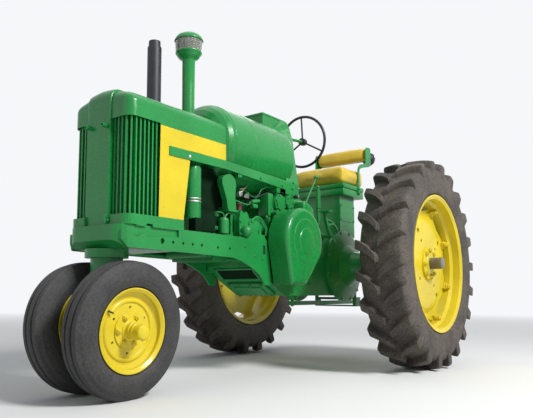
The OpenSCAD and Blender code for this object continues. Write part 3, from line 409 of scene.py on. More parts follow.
# The band pressed up along the middle runs down the front as far as the grille's column.
band_y = 0.097
band = box((low.x, -band_y, cap_low), (high.x, band_y, high.z + 0.004), "hood_band")
round_edges(band, lambda c: all(p.x > high.x - near and p.z > high.z for p in c), 0.068, 12)
for line in (0, 0.035, 0.07):
    for side in (1, -1):
        split_across(band, (0, side * line, 0), (0, 1, 0))
crown_over(band, cap_low, top)
round_edges(band, lambda c: all(abs(p.y) > band_y - near for p in c)
            and all(p.z > cap_low + 0.1 or p.x > front for p in c), 0.006, 3)
dress(smooth(band, 38), sheet_green)
lip = box((low.x, -0.246, cap_low - 0.008), (side_front, 0.246, cap_low - 0.004), "hood_hem")
dress(soften(lip, 0.0015), sheet_green)
for name, x, y, r in (("intake_ring", 1735, 80, 36.5), ("exhaust_ring", 1890, -70, 44.5)):
    z = 1000 * (high.z - crown(y / 1000)) - 12
    dress(spun([(r, z), (r + 16, z), (r + 15, z + 6), (r + 6, z + 8), (r + 2, z + 20), (r, z + 20)], 48, name,
               at(x, y, 0), closed=True), sheet_green)


# ---- Grille. Hollow studs for the lamps stand bare on the column, a latch holds it at its
# foot, and the radiator's fins show dark between the bars.
def rod(start, end, radius, name, sides=20, edge=0.0008):
    """A round or many-sided bar between two points, with broken edges."""
    start, end = Vector(start), Vector(end)
    run = end - start
    bpy.ops.object.select_all(action="DESELECT")
    bpy.ops.mesh.primitive_cylinder_add(vertices=sides, radius=radius, depth=run.length,
                                        location=(start + end) / 2,
                                        rotation=run.to_track_quat("Z", "Y").to_euler())
    piece = settle(bpy.context.object, name)
    return smooth(soften(piece, edge, 2, 65), 40)


def joined(parts, name):
    """Makes one piece of several."""
    bpy.ops.object.select_all(action="DESELECT")
    for part in parts:
        part.select_set(True)
    bpy.context.view_layer.objects.active = parts[0]
    bpy.ops.object.join()
    parts[0].name = name
    parts[0].data.name = name
    return parts[0]


def copies(first, moves, name):
    """Repeats one modelled part by a list of moves, the first of which leaves it where it is."""
    parts = [first]
    for move in moves[1:]:
        again = first.copy()
        again.data = first.data.copy()
        again.data.transform(move)
        scene.collection.objects.link(again)
        parts.append(again)
    return joined(parts, name)


def bolts(name, places, facing, across, tall):
    """Hexagon heads on washers, modelled once and copied to each place."""
    facing = Vector(facing).normalized()
    first = Vector(places[0])
    head = rod(first, first + facing * tall, across / math.sqrt(3), name, 6, tall * 0.12)
    washer = rod(first, first + facing * tall * 0.22, across * 0.72, name + "_washer", 18, 0.0004)
    pair = joined([head, washer], name)
    moves = [Matrix.Translation(Vector(place) - first) for place in places]
    return copies(pair, moves, name)


def ring_of(count, radius, centre, start=0):
    """Places round a circle in the plane across the tractor's width, in millimetres."""
    turns = [math.radians(start + 360 * i / count) for i in range(count)]
    return [at(centre[0] + radius * math.cos(a), centre[1], centre[2] + radius * math.sin(a))
            for a in turns]


column_x = 2366
studs = [spun([(12.5, -2), (12.5, 30), (10.5, 32), (7.5, 32), (6.5, 30), (6.5, 4), (0, 4)], 28, "stud",
              at(column_x, y, z), (1, 0, 0)) for y, z in ((-72, 1457), (70, 1447))]
dress(joined(studs, "lamp_studs"), sheet_green)
latch = [rod(at(column_x, 78, 940), at(2378, 78, 940), 0.011, "latch"),
         rod(at(column_x, 98, 930), at(2372, 98, 930), 0.008, "latch")]
for y, z, w, h in ((86, 925, 24, 7), (92, 948, 14, 6)):
    tab = box(at(column_x, y - w / 2, z - h / 2), at(column_x + 9, y + w / 2, z + h / 2), "latch")
    latch.append(soften(tab, 0.002))
dress(joined(latch, "column_latch"), sheet_green)
radiator_front = 2105
tube = soften(box(at(radiator_front, -196, 930), at(radiator_front + 16, -190, 1462), "core"), 0.002)
core_tubes = 33
pitch = 386 / (core_tubes - 1) / 1000
core = copies(tube, [Matrix.Translation((0, i * pitch, 0)) for i in range(core_tubes)], "radiator_core")


# ---- Stacks. The exhaust is a plain tube in heat-proof black, the manifold is rusty iron.
def plain_metal(name, colour, spots, roughness, metallic, grain):
    """Bare or burnt metal with stains, broken gloss and a fine grain."""
    finish, tree, shader = new_finish(name)
    stains = speckle(tree, 14, 8)
    feed(tree, shader, {"Base Color": ramp(tree, stains, 0.38, colour, 0.66, spots), "Metallic": metallic,
                        "Roughness": spread(tree, stains, 0, 1, roughness, roughness + 0.2),
                        "Normal": bumps(tree, speckle(tree, 420), grain, 0.001, rounded(tree, 0.002))})
    return finish


stack_black = plain_metal("stack_black", (0.012, 0.013, 0.018), (0.03, 0.03, 0.036), 0.42, 0.2, 0.15)
coat(["exhaust_stack", "rear_lamp"], stack_black)
rusty_iron = plain_metal("rusty_iron", (0.1, 0.045, 0.03), (0.19, 0.1, 0.07), 0.7, 0.0, 0.5)
coat(["exhaust_manifold"], rusty_iron)
bare_steel = plain_metal("bare_steel", (0.3, 0.29, 0.27), (0.18, 0.165, 0.15), 0.38, 0.85, 0.2)
coat(["axle_shaft_left", "axle_shaft_right", "pto_shaft", "flywheel"], bare_steel)
hard_rubber = plain_metal("hard_rubber", (0.012, 0.012, 0.014), (0.02, 0.02, 0.024), 0.35, 0.0, 0.05)
coat(["steering_wheel"], hard_rubber)
bright_steel = plain_metal("bright_steel", (0.62, 0.61, 0.58), (0.48, 0.47, 0.44), 0.22, 0.9, 0.08)
brass = plain_metal("brass", (0.62, 0.42, 0.12), (0.5, 0.34, 0.1), 0.26, 0.9, 0.08)
dress(core, stack_black)


# ---- Air intake. A glass bowl catches the coarse dust: it stands in a green pan, and its
# domed cap is held down by a nut on the stem. Upright vanes show through the glass.
bowl_glass, tree, shader = new_finish("bowl_glass")
feed(tree, shader, {"Transmission Weight": 0.75, "IOR": 1.45, "Roughness": 0.12,
                    "Base Color": ramp(tree, speckle(tree, 30), 0, (0.36, 0.38, 0.32), 1, (0.66, 0.68, 0.6))})
coat(["precleaner_bowl"], bowl_glass)
bowl_low, bowl_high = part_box("precleaner_bowl")
bowl_x, bowl_y = (bowl_low.x + bowl_high.x) / 2, (bowl_low.y + bowl_high.y) / 2
pan_top = Vector((bowl_x, bowl_y, bowl_low.z - 0.006))
rim_z = bowl_high.z + 0.001
foot_h = 1000 * (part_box("air_stack")[0].z - pan_top.z)
rim_h = 1000 * (rim_z - pan_top.z)
dress(spun([(38.5, foot_h), (40, foot_h + 400), (41, -44), (44.5, -38), (60, -28), (73, -13), (80, 0),
            (84, 3), (85, 7), (84, 11), (80, 11), (78, 6), (40, 2), (30, 2), (30, foot_h)], 64,
           "intake_stack", pan_top, closed=True, shade=40), sheet_green, instead_of="air_stack")
dress(spun([(79, 6), (83, 20), (85.5, 40), (86.5, rim_h - 10), (86.8, rim_h), (83.8, rim_h),
            (83.5, rim_h - 10), (83, 40), (80, 20), (76, 6)], 64, "intake_jar", pan_top, closed=True,
           shade=40), bowl_glass, instead_of="precleaner_bowl")
dress(spun([(0, 47), (30, 45), (55, 38.5), (72, 28.5), (83, 17), (88.5, 6), (89.5, 2), (92, 0), (92.8, -3.5),
            (91.5, -7), (89, -8), (87, -4), (84, 6), (70, 24), (0, 42)], 72, "intake_lid",
           (bowl_x, bowl_y, rim_z + 0.002), shade=40), sheet_green)
dress(spun([(0, rim_h), (44, rim_h), (44, rim_h - 30), (36, rim_h - 36), (36, 0)], 40, "intake_core", pan_top,
           shade=40), sheet_green)
vane = soften(box((bowl_x + 0.04, bowl_y - 0.001, rim_z - 0.032),
                  (bowl_x + 0.078, bowl_y + 0.001, rim_z - 0.004), "vane"), 0.0006)
vane_count = 14
middle = Matrix.Translation((bowl_x, bowl_y, 0))
vanes = copies(vane, [middle @ Matrix.Rotation(2 * math.pi * i / vane_count, 4, "Z") @ middle.inverted()
                      for i in range(vane_count)], "intake_vanes")
dress(vanes, cast_green)
dress(spun([(0, 12), (6, 11), (10, 7), (10, 2), (15, 0), (15, -4)], 24, "cap_nut",
           (bowl_x, bowl_y, rim_z + 0.049)), sheet_green)


# ---- Yellow panels. The stripe along the hood and the plates beside the radiator are the
# same sheet, painted yellow and left bare of any words, held by one bright bolt each side.
yellow = (0.62, 0.485, 0.016)
panel_yellow = enamel("panel_yellow", yellow, 0.02, 0.24, 0.12)
coat(["side_panels"], panel_yellow)
both_sides = ((1, "left"), (-1, "right"))
for side, mark in both_sides:
    dress(spun([(0, 6.5), (6, 5.5), (10, 2.5), (11, 0)], 20, "panel_screw_" + mark,
               at(1901, side * 254, 1336), (0, side, 0)), bright_steel)


# ---- Tank. Two domed ends are welded to the rolled shell: a bead shows at each seam. Bolts
# hold the dash's feet to the strips that carry the tank.
tank_low, tank_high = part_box("fuel_tank")
tank_r = 1000 * (tank_high.y - tank_low.y) / 2
tank_z = (tank_high.z + tank_low.z) / 2
for name, x in (("tank_seam_front", 1490), ("tank_seam_middle", 1278)):
    seam = spun([(tank_r - 2, -5), (tank_r + 0.6, -4), (tank_r + 1.6, 0), (tank_r + 0.6, 4), (tank_r - 2, 5)],
                96, name, (at(x, 0, 0).x, 0, tank_z), (1, 0, 0), closed=True, shade=60)
    dress(seam, sheet_green)
for side, mark in both_sides:
    row = bolts("dash_bolts_" + mark, [at(940, side * 254, 1308), at(1200, side * 254, 1318),
                                       at(802, side * 249, 1303), at(790, side * 247, 1350)], (0, side, 0),
                0.017, 0.008)
    dress(row, cast_green)
lid_low, lid_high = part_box("valve_cover")
lid = box((lid_low.x + 0.004, -0.103, lid_high.z - 0.014),
          (lid_high.x + 0.004, 0.103, lid_high.z + 0.003), "valve_lid")
dress(smooth(soften(lid, 0.004, 3)), sheet_green)


# ---- Flywheel cover. A pressed steel dish, deeply rounded at its rim, with a shallow step
# and a flat boss pressed into its face. Its foot is cut straight, and the rear edge is open.
def plate(outline, y, thick, name):
    """A flat plate with this outline, given in millimetres, standing along the tractor."""
    piece = from_points([at(x, y, z) for x, z in outline], [], [range(len(outline))], name)
    modify(piece, "SOLIDIFY", thickness=thick / 1000, offset=0)
    outward(piece)
    return piece


cover_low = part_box("flywheel_cover")[0]
crank = at(903, 0, 905)
cover_r = 0.23
foot_z = at(0, 0, 608).z - crank.z
rise_angle, fall_angle = math.radians(-12), math.radians(205)
arc_steps = 48
arc = [rise_angle + (fall_angle - rise_angle) * i / arc_steps for i in range(arc_steps + 1)]
outline = [(cover_r * math.cos(a), cover_r * math.sin(a)) for a in arc]
outline += [(x, foot_z) for x in (-0.01, 0.03, 0.08, 0.13, 0.168)]
cover = from_points([(crank.x + x, cover_low.y, crank.z + z) for x, z in outline], [],
                    [range(len(outline))], "flywheel_shell")
only(cover)
bpy.ops.object.mode_set(mode="EDIT")
bpy.ops.mesh.select_mode(type="FACE")
bpy.ops.mesh.select_all(action="SELECT")
wall, open_depth = 0.128, 0.07
for depth in (open_depth, wall - open_depth):
    bpy.ops.mesh.extrude_region_move(TRANSFORM_OT_translate={"value": (0, depth, 0)})
mean_r = 0.215
for inward, lift in ((0.003, 0.01), (0.005, 0.008), (0.008, 0.006), (0.011, 0.003), (0.012, 0.001)):
    bpy.ops.mesh.extrude_region_move(TRANSFORM_OT_translate={"value": (0, lift, 0)})
    bpy.ops.transform.resize(value=(1 - inward / mean_r, 1, 1 - inward / mean_r),
                             center_override=(crank.x - 0.002, 0, crank.z - 0.02))
bpy.ops.object.mode_set(mode="OBJECT")
drop_faces(cover, lambda c: all(p.y < cover_low.y + near for p in c)
           or (all(p.y < cover_low.y + open_depth + near for p in c)
               and sum(p.x for p in c) / len(c) < crank.x - 0.02
               and sum(p.z for p in c) / len(c) < crank.z - 0.15))
outward(cover)
modify(cover, "SOLIDIFY", thickness=0.004, offset=-1)
dress(smooth(cover, 32), sheet_green, instead_of="flywheel_cover")
dish_y = cover_low.y + wall + 0.028
dress(spun([(0, 10), (83, 10), (86.5, 9), (88.5, 5.5), (91, 4.5), (120, 4.3), (148, 4), (151.5, 3.2),
            (154.5, 0.2), (157, -0.6), (166, -1.6)], 96, "flywheel_dish", (crank.x, dish_y, crank.z),
           (0, 1, 0), shade=50), sheet_green)
lug_side = [(880, 1075), (872, 1172), (866, 1186), (848, 1192), (778, 1168), (752, 1150), (742, 1128),
            (728, 1075), (760, 1010), (850, 1010)]
lug = soften(plate(lug_side, 347, 82, "cover_lug"), 0.01, 3)
dress(smooth(lug, 40), sheet_green)


# ---- Castings. Hexagon bolts hold the covers, flanges and brackets of the engine and the
# rear case; they were sprayed together with the iron.
def green_bolts(name, places, facing, across=0.019, tall=0.01):
    """A row of bolts under the castings' paint."""
    dress(bolts(name, places, facing, across, tall), cast_green)


for side, mark in both_sides:
    out = (0, side, 0)
    green_bolts("final_drive_bolts_" + mark, ring_of(12, 272, (0, side * 238, 772), 15), out, 0.026, 0.012)
    green_bolts("head_bolts_" + mark, [at(x, side * (186 if side > 0 else 178), z) for x in (1500, 1580)
                                       for z in (950, 1035)], out, 0.022, 0.01)
    rail_spots = ((1368, 848), (1262, 791), (1177, 774))
    green_bolts("rail_bolts_" + mark, [at(x, side * 250, z) for x, z in rail_spots], out, 0.016, 0.007)
    green_bolts("lid_screws_" + mark, [at(x, side * 204, z) for x in (-238, -18) for z in (1167, 1283)],
                out, 0.014, 0.006)
flange = box(at(1006, 130, 1078), at(1064, 222, 1242), "case_flange")
dress(smooth(soften(flange, 0.008, 3)), cast_green)
# Dark sheets in a near-black, dull finish stand in the engine bay where there is only shade: painted shade
# that also hides the gaps behind.
painted_shade_black = plain_metal("painted_shade_black", (0.003, 0.014, 0.005), (0.005, 0.022, 0.009), 0.8, 0.0, 0.4)
painted_shade_black.node_tree.nodes["Principled BSDF"].inputs["Specular IOR Level"].default_value = 0.08
shade_sheet_plates = (((1478, 146, 1060), (1745, 149, 1330)), ((1440, 182, 925), (1745, 185, 1062)),
              ((1478, 146, 1059), (1745, 185, 1062)), ((1745, 110, 925), (1748, 149, 1330)),
              ((1140, -150, 1120), (1478, -147, 1300)))
shade_sheets = joined([box(at(*low), at(*high), "painted_shade_sheet") for low, high in shade_sheet_plates], "painted_shade_sheet")
dress(soften(shade_sheets, 0.001), painted_shade_black)
# A black plate inside the rail's hole is painted shade, so that the hole looks deep.
window = box(at(1138, 239, 811), at(1184, 241, 858), "rail_hole_painted_shade")
dress(soften(window, 0.0005), stack_black)


def on_slope(high_x, high_z, low_x, low_z):
    """A place on the case's underside: X down the slope, Y to the left, Z out of the metal."""
    top_end, low_end = at(high_x, 0, high_z), at(low_x, 0, low_z)
    down = (low_end - top_end).normalized()
    out_of = down.cross(Vector((0, 1, 0)))
    lie = Matrix((down, (0, 1, 0), out_of)).transposed().to_4x4()
    return Matrix.Translation((top_end + low_end) / 2) @ lie


# a raised rim in front round a dark plate, painted shade for the hollow of an open window, and a sump cover
# with its bolts behind
window_lie, sump_lie = on_slope(1195, 730, 1070, 636), on_slope(1070, 636, 865, 531)
rim_sides = ((-0.066, -0.05, -0.172, 0.172), (0.05, 0.066, -0.172, 0.172),
             (-0.066, 0.066, -0.172, -0.156), (-0.066, 0.066, 0.156, 0.172))
rim = joined([box((x0, y0, -0.004), (x1, y1, 0.012), "window_rim") for x0, x1, y0, y1 in rim_sides],
             "window_rim")
soften(rim, 0.004, 3)
rim.data.transform(window_lie)
dress(smooth(rim), cast_green)
# the plate inside the rim is painted shade for the window's hollow
window_shade = soften(box((-0.052, -0.158, 0.0005), (0.052, 0.158, 0.0025), "window_painted_shade"), 0.0005)
window_shade.data.transform(window_lie)
dress(window_shade, painted_shade_black)
sump_spots = [Vector((x, y, 0.02)) for x in (-0.078, 0.07) for y in (-0.14, -0.05, 0.05, 0.14)]
sump = joined([soften(box((-0.092, -0.16, -0.004), (0.084, 0.16, 0.02), "sump_cover"), 0.012, 4),
               soften(box((-0.06, -0.12, 0.016), (0.056, 0.12, 0.032), "sump_pan"), 0.012, 4),
               bolts("sump_bolts", sump_spots, (0, 0, 1), 0.018, 0.009)], "sump_cover")
smooth(sump).data.transform(sump_lie)
dress(sump, cast_green)
green_bolts("governor_bolts", ring_of(6, 55, (953, 245, 1176), 20), (0, 1, 0), 0.014, 0.008)
green_bolts("magneto_bolts", ring_of(5, 41, (853, 263, 1195), 40), (0, 1, 0), 0.013, 0.008)
green_bolts("pump_bolts", [at(x, 232, z) for x, z in ((1308, 920), (1395, 926), (1304, 1000), (1398, 1010))],
            (0, 1, 0), 0.016, 0.009)
case_spots = ((1150, 920), (1080, 1068), (1040, 1130), (1000, 1200), (700, 1215), (620, 1190), (560, 1120),
              (520, 700), (520, 620), (660, 570), (760, 560))
green_bolts("case_bolts", [at(x, 215, z) for x, z in case_spots], (0, 1, 0), 0.018, 0.009)
green_bolts("front_head_bolts", [at(1650, y, z) for y in (-120, 0, 120) for z in (820, 985)], (1, 0, 0),
            0.024, 0.012)
green_bolts("rear_cover_bolts", [at(-255, y, z) for y in (-185, -95, 95, 185) for z in (640, 760, 880)],
            (-1, 0, 0), 0.02, 0.01)
for z in (855, 905):
    for y in (-45, 45):
        dress(spun([(0, 30), (8, 30), (10, 44), (16, 44), (18, 40), (18, 18), (23, 16), (23, -2)], 24,
                   f"hose_coupler_{z}_{y + 50}", at(-255, y, z), (-1, 0, 0)), bright_steel)
shield = [soften(box(at(-345, y0, z0), at(-255, y1, z1), "shield"), 0.002)
          for y0, y1, z0, z1 in ((-95, 95, 752, 758), (-95, -90, 690, 757), (90, 95, 690, 757))]
dress(joined(shield, "power_shield"), sheet_green)


# ---- Engine's small parts. Steel and copper lines, wires and levers on the left side: the
# fuel mixer's bright linkage, the pump's twin lines, the filter's lines and the governor's wire.
def pipe(points, radius, name, resolution=3):
    """A bent tube through points."""
    bend = bpy.data.curves.new(name, "CURVE")
    bend.dimensions = "3D"
    bend.bevel_depth = radius
    bend.bevel_resolution = resolution
    bend.resolution_u = 8
    bend.use_fill_caps = True
    run = bend.splines.new("BEZIER")
    run.bezier_points.add(len(points) - 1)
    for knot, point in zip(run.bezier_points, points):
        knot.co = point
        knot.handle_left_type = knot.handle_right_type = "AUTO"
    piece = bpy.data.objects.new(name, bend)
    scene.collection.objects.link(piece)
    only(piece)
    bpy.ops.object.convert(target="MESH")
    piece = bpy.context.object
    only(piece)
    bpy.ops.object.shade_smooth()
    return piece


for i, shift in enumerate((0, 14)):
    line = pipe([at(1292 - shift, 240, 1012), at(1280 - shift, 245, 1033 + shift / 2),
                 at(1215, 246, 1038 + shift), at(1163 - shift / 2, 246, 1004 + shift),
                 at(1134 - shift, 243, 968), at(1130 - shift, 236, 935)], 0.0058, f"pump_line_{i + 1}")
    dress(line, cast_green)
for name, r, points in (
        ("filter_line_in", 0.0045, [(1545, 214, 1018), (1549, 216, 1040), (1585, 205, 1050),
                                    (1600, 170, 1045)]),
        ("filter_line_out", 0.0045, [(1545, 222, 1018), (1520, 226, 1046), (1480, 226, 1050),
                                     (1446, 222, 1040), (1420, 205, 1010)]),
        ("mixer_line", 0.0045, [(1408, 196, 1148), (1350, 203, 1138), (1290, 203, 1132), (1258, 200, 1140),
                                (1240, 200, 1156)]),
        ("governor_wire", 0.003, [(992, 226, 1288), (1060, 222, 1280), (1136, 214, 1253),
                                   (1172, 212, 1212), (1211, 210, 1192), (1256, 205, 1200),
                                   (1290, 196, 1220)]),
        ("pedal_rod_upper", 0.0085, [(352, 250, 1120), (300, 250, 1122), (249, 248, 1117), (196, 246, 1102),
                                     (150, 238, 1084), (96, 222, 1070)]),
        ("pedal_rod_lower", 0.007, [(330, 268, 1070), (270, 266, 1092), (215, 262, 1088), (160, 252, 1060),
                                     (118, 236, 1044)]),
        ("spark_lead_left", 0.004, [(853, 240, 1238), (900, 226, 1262), (1010, 200, 1256), (1180, 170, 1180),
                                     (1340, 150, 1100), (1430, 130, 1062)]),
        ("spark_lead_right", 0.004, [(840, 236, 1238), (890, 215, 1268), (1000, 150, 1262),
                                      (1180, 60, 1180), (1340, -60, 1100), (1430, -120, 1062)]),
        ("oil_line", 0.005, [(1010, 218, 1150), (1022, 226, 1060), (1018, 228, 980), (1012, 222, 930)])):
    line = pipe([at(*p) for p in points], r, name)
    wire = name.startswith("spark")
    dress(line, hard_rubber if wire else cast_green)
linkage = [rod(at(1282, 150, 1222), at(1206, 150, 1288), 0.0065, "linkage"),
           rod(at(1296, 150, 1240), at(1226, 150, 1262), 0.005, "linkage"),
           rod(at(1300, 138, 1208), at(1300, 162, 1208), 0.02, "linkage")]
bracket = box(at(1196, 146, 1190), at(1246, 150, 1236), "linkage")
for corner in bracket.data.vertices:
    if corner.co.z > at(0, 0, 1230).z and corner.co.x > at(1240, 0, 0).x:
        corner.co.z -= 0.03
soften(bracket, 0.001)
dress(joined(linkage + [bracket], "mixer_linkage"), bright_steel)
fitting = joined([rod(at(1276, 152, 1239), at(1256, 152, 1242), 0.0085, "fitting", 6),
                  rod(at(1212, 152, 1284), at(1200, 152, 1294), 0.008, "fitting", 6)], "mixer_fittings")
dress(fitting, brass)
dress(spun([(0, 0), (19, 0), (21, 4), (21, 10), (17.5, 14), (17.5, 56), (21, 60), (21, 68), (0, 70)], 28,
           "mixer_elbow", at(1330, 168, 1072)), rusty_iron)
dress(spun([(0, 0), (10, 0), (12, 3), (12, 30), (15, 32), (15, 60), (13, 64), (13, 82), (8, 86), (0, 87)], 28,
           "governor_link", at(1240, 206, 1156), (-0.98, 0, 0.2)), cast_green)
bracket = box(at(1176, 184, 1118), at(1228, 214, 1146), "link_bracket")
dress(smooth(soften(bracket, 0.005, 3)), cast_green)
dress(rod(at(770, 240, 1262), at(716, 240, 1250), 0.012, "case_hose"), hard_rubber)
dress(spun([(12, -6), (14, -6), (14, 6), (12, 6)], 28, "hose_clamp", at(726, 240, 1252), (-1, 0, -0.2),
           closed=True), bright_steel)
cleaner = spun([(0, 985), (45, 985), (51, 988), (53.5, 995), (53.5, 1290), (51.5, 1300), (44, 1308),
                (31, 1311), (31, 1399.5), (0, 1399.5)], 48, "cleaner_can", at(1800, 180, 0))
duct = [spun([(0, 1330), (31, 1330), (31, 1419.5), (0, 1419.5)], 32, "duct", at(1735, 80, 0)),
        soften(box(at(1705, 55, 1330), at(1830, 210, 1390), "duct"), 0.012, 4)]
cleaner = joined([cleaner] + duct, "cleaner_body")
dress(smooth(cleaner, 35), sheet_green, instead_of="air_cleaner")
# The cleaner's post is painted near black for the shade it stands in: painted shade.
post = box(at(1772, 178, 803), at(1828, 236, 990), "cleaner_post")
dress(soften(post, 0.004), painted_shade_black)
for z in (1088, 1105):
    dress(spun([(53, -3.8), (56, -3.8), (57, -1.8), (57, 1.8), (56, 3.8), (53, 3.8)], 48, f"cleaner_band_{z}",
               at(1800, 180, z), closed=True, shade=60), bright_steel)


# ---- Wheels. Pressed steel discs and rolled rims, sprayed yellow, a little dusty on upward faces.
# Nuts hold the discs to the hubs and the rims to the discs; each rim has its valve.
wheel_yellow = enamel("wheel_yellow", yellow, 0.05, 0.26, 0.2)
coat(["front_wheel_left", "front_wheel_right", "rear_wheel_left", "rear_wheel_right"], wheel_yellow)
front_camber = math.radians(4)
front_tyre_r, tread_edge = 360, 14
front_wheel_z = front_tyre_r * math.cos(front_camber) + tread_edge * math.sin(front_camber)
wheelbase, front_wheel_y = 2286, 166
rear_wheel_y, rear_axle_z = 865, 772.4


def on_front_wheel(side):
    """Where a front wheel's hub stands: local Z runs outward along the spindle."""
    return (Matrix.Translation(at(wheelbase, side * front_wheel_y, front_wheel_z))
            @ Matrix.Rotation(-side * front_camber, 4, "X") @ Matrix.Rotation(-side * math.pi / 2, 4, "X"))


def on_rear_wheel(side):
    """Where a rear wheel's hub stands: local Z runs outward along the axle."""
    return (Matrix.Translation(at(0, side * rear_wheel_y, rear_axle_z))
            @ Matrix.Rotation(-side * math.pi / 2, 4, "X"))


def wheel_nuts(name, count, radius, height, across, tall, start=0):
    """Nuts round a hub, in the wheel's own place with Z outward."""
    places = [Vector((radius * math.cos(a), radius * math.sin(a), height))
              for a in [math.radians(start + 360 * i / count) for i in range(count)]]
    row = bolts(name, places, (0, 0, 1), across, tall)
    stubs = [rod(p, p + Vector((0, 0, tall + 0.006)), across * 0.28, name, 14) for p in places]
    return joined([row] + stubs, name)


for side, mark in both_sides:
    nuts = wheel_nuts("front_nuts_" + mark, 6, 0.076, 0.034, 0.027, 0.014)
    cap = spun([(0, 150), (18, 149.2), (31, 146.2), (38.5, 140.5), (40.8, 133), (41, 100), (44, 98), (45, 92),
                (44, 86), (41, 84)], 48, "front_cap_" + mark)
    rib = spun([(168, 23.5), (163, 30), (156, 33.5), (150, 33.5), (144, 30), (139, 24.5)], 96,
               "front_ring_" + mark, shade=60)
    weld = spun([(181, 12), (184.5, 10), (186, 6)], 96, "front_weld_" + mark, shade=60)
    trim = joined([nuts, cap, rib, weld], "front_hub_trim_" + mark)
    trim.data.transform(on_front_wheel(side))
    dress(trim, wheel_yellow, "front_" + mark)
    stem = spun([(0, 40), (3.5, 40), (4.5, 36), (4.5, 16), (7, 12), (8, 0)], 16, "front_valve_" + mark,
                (0.15, -0.104 * side, 0.022), (-0.45, 0.3 * side, 0.84))
    stem.data.transform(on_front_wheel(side))
    dress(stem, hard_rubber, "front_" + mark)

for side, mark in both_sides:
    hub = wheel_nuts("rear_hub_nuts_" + mark, 8, 0.102, 0.072, 0.034, 0.018)
    clamps = wheel_nuts("rear_clamp_nuts_" + mark, 8, 0.44, 0.056, 0.036, 0.022, 22.5)
    jaws = [smooth(soften(box((0.418, -0.026, 0.03), (0.478, 0.026, 0.058), "jaw"), 0.008, 3))
            for i in range(8)]
    for i, jaw in enumerate(jaws):
        jaw.data.transform(Matrix.Rotation(math.radians(22.5 + 45 * i), 4, "Z"))
    trim = joined([hub, clamps] + jaws, "rear_hub_trim_" + mark)
    trim.data.transform(on_rear_wheel(side))
    dress(trim, wheel_yellow, "rear_" + mark)
    stem = spun([(0, 46), (4, 46), (5, 42), (5, 18), (8, 14), (10, 0)], 16, "rear_valve_" + mark,
                (0.335, 0.335, 0.04), (-0.3, -0.3, 0.9))
    stem.data.transform(on_rear_wheel(side))
    dress(stem, hard_rubber, "rear_" + mark)
    end = spun([(0, 171.2), (6, 170.2), (8, 166), (12, 170), (34, 171.2), (40.2, 169), (42.2, 165)], 48,
               "axle_end_" + mark)
    end.data.transform(on_rear_wheel(side))
    dress(end, bare_steel, "rear_" + mark)


# ---- Tyres. Weathered rubber: three ribs in front, long slanting lugs behind, and dried soil
# that stays between the lugs and on the walls. Fine rings are moulded into the walls.
def rubber(name, colour, soil, amount, crumb):
    """Weathered rubber with dried soil and scuffed edges."""
    finish, tree, shader = new_finish(name)
    crumbs = speckle(tree, 90, 6)
    smeared = add(tree, "Math", {0: speckle(tree, 5, 10, 0.65), 1: crumbs}, operation="MULTIPLY")[0]
    scuffed = worn_and_highlit_edges(tree, rounded(tree, 0.006), 0.99, 0.86, 0.7)
    most = add(tree, "Math", {0: spread(tree, smeared, 0.16, 0.36, 0, amount), 1: scuffed},
               operation="MAXIMUM")[0]
    feed(tree, shader, {"Base Color": mixed(tree, most, (*colour, 1), (*soil, 1)), "Roughness": 0.68,
                        "Specular IOR Level": 0.35, "Normal": bumps(tree, crumbs, crumb, 0.0015)})
    return finish


front_rubber = rubber("front_rubber", (0.03, 0.03, 0.032), (0.085, 0.08, 0.072), 0.55, 0.25)
front_half = [
    (204.3, 53), (224, 54.5), (227.5, 60), (228.5, 66), (231, 69), (234, 69.3),
    (236.5, 72), (250, 76.5), (266, 79.5), (269, 80.3), (272, 79.7), (290, 79.5),
    (306, 76.5), (318, 72), (321.5, 71.5), (328, 67), (338, 60), (339.5, 59.2),
    (352, 56), (354.5, 53.5), (356.2, 49), (357.2, 33), (356.5, 29.5), (349, 27),
    (347.5, 25), (347.5, 20), (349, 18), (357.5, 15.5), (359.2, 13.5), (359.6, 11),
    (360, 0)]
front_profile = front_half + [(r, -h) for r, h in reversed(front_half[:-1])]
for side, mark in both_sides:
    tyre = spun(front_profile, 120, "front_tyre_body_" + mark, closed=True, shade=32)
    tyre.data.transform(on_front_wheel(side))
    dress(tyre, front_rubber, "front_" + mark, "front_tyre_" + mark)

rear_rubber = rubber("rear_rubber", (0.036, 0.033, 0.031), (0.135, 0.11, 0.088), 0.8, 0.45)
rear_half = [
    (486.3, 137), (512, 138.5), (516.5, 145), (518.5, 151), (523, 154), (527.5, 154.5),
    (531, 157), (550, 160.5), (590, 164), (622, 165), (650, 164.5), (654, 164),
    (670, 161), (685, 156), (698, 148), (708, 137), (715, 122), (720, 100),
    (725, 60), (727, 0)]
rear_profile = rear_half + [(r, -h) for r, h in reversed(rear_half[:-1])]
lug_count, lug_r, tread_half = 22, 0.76, 0.165
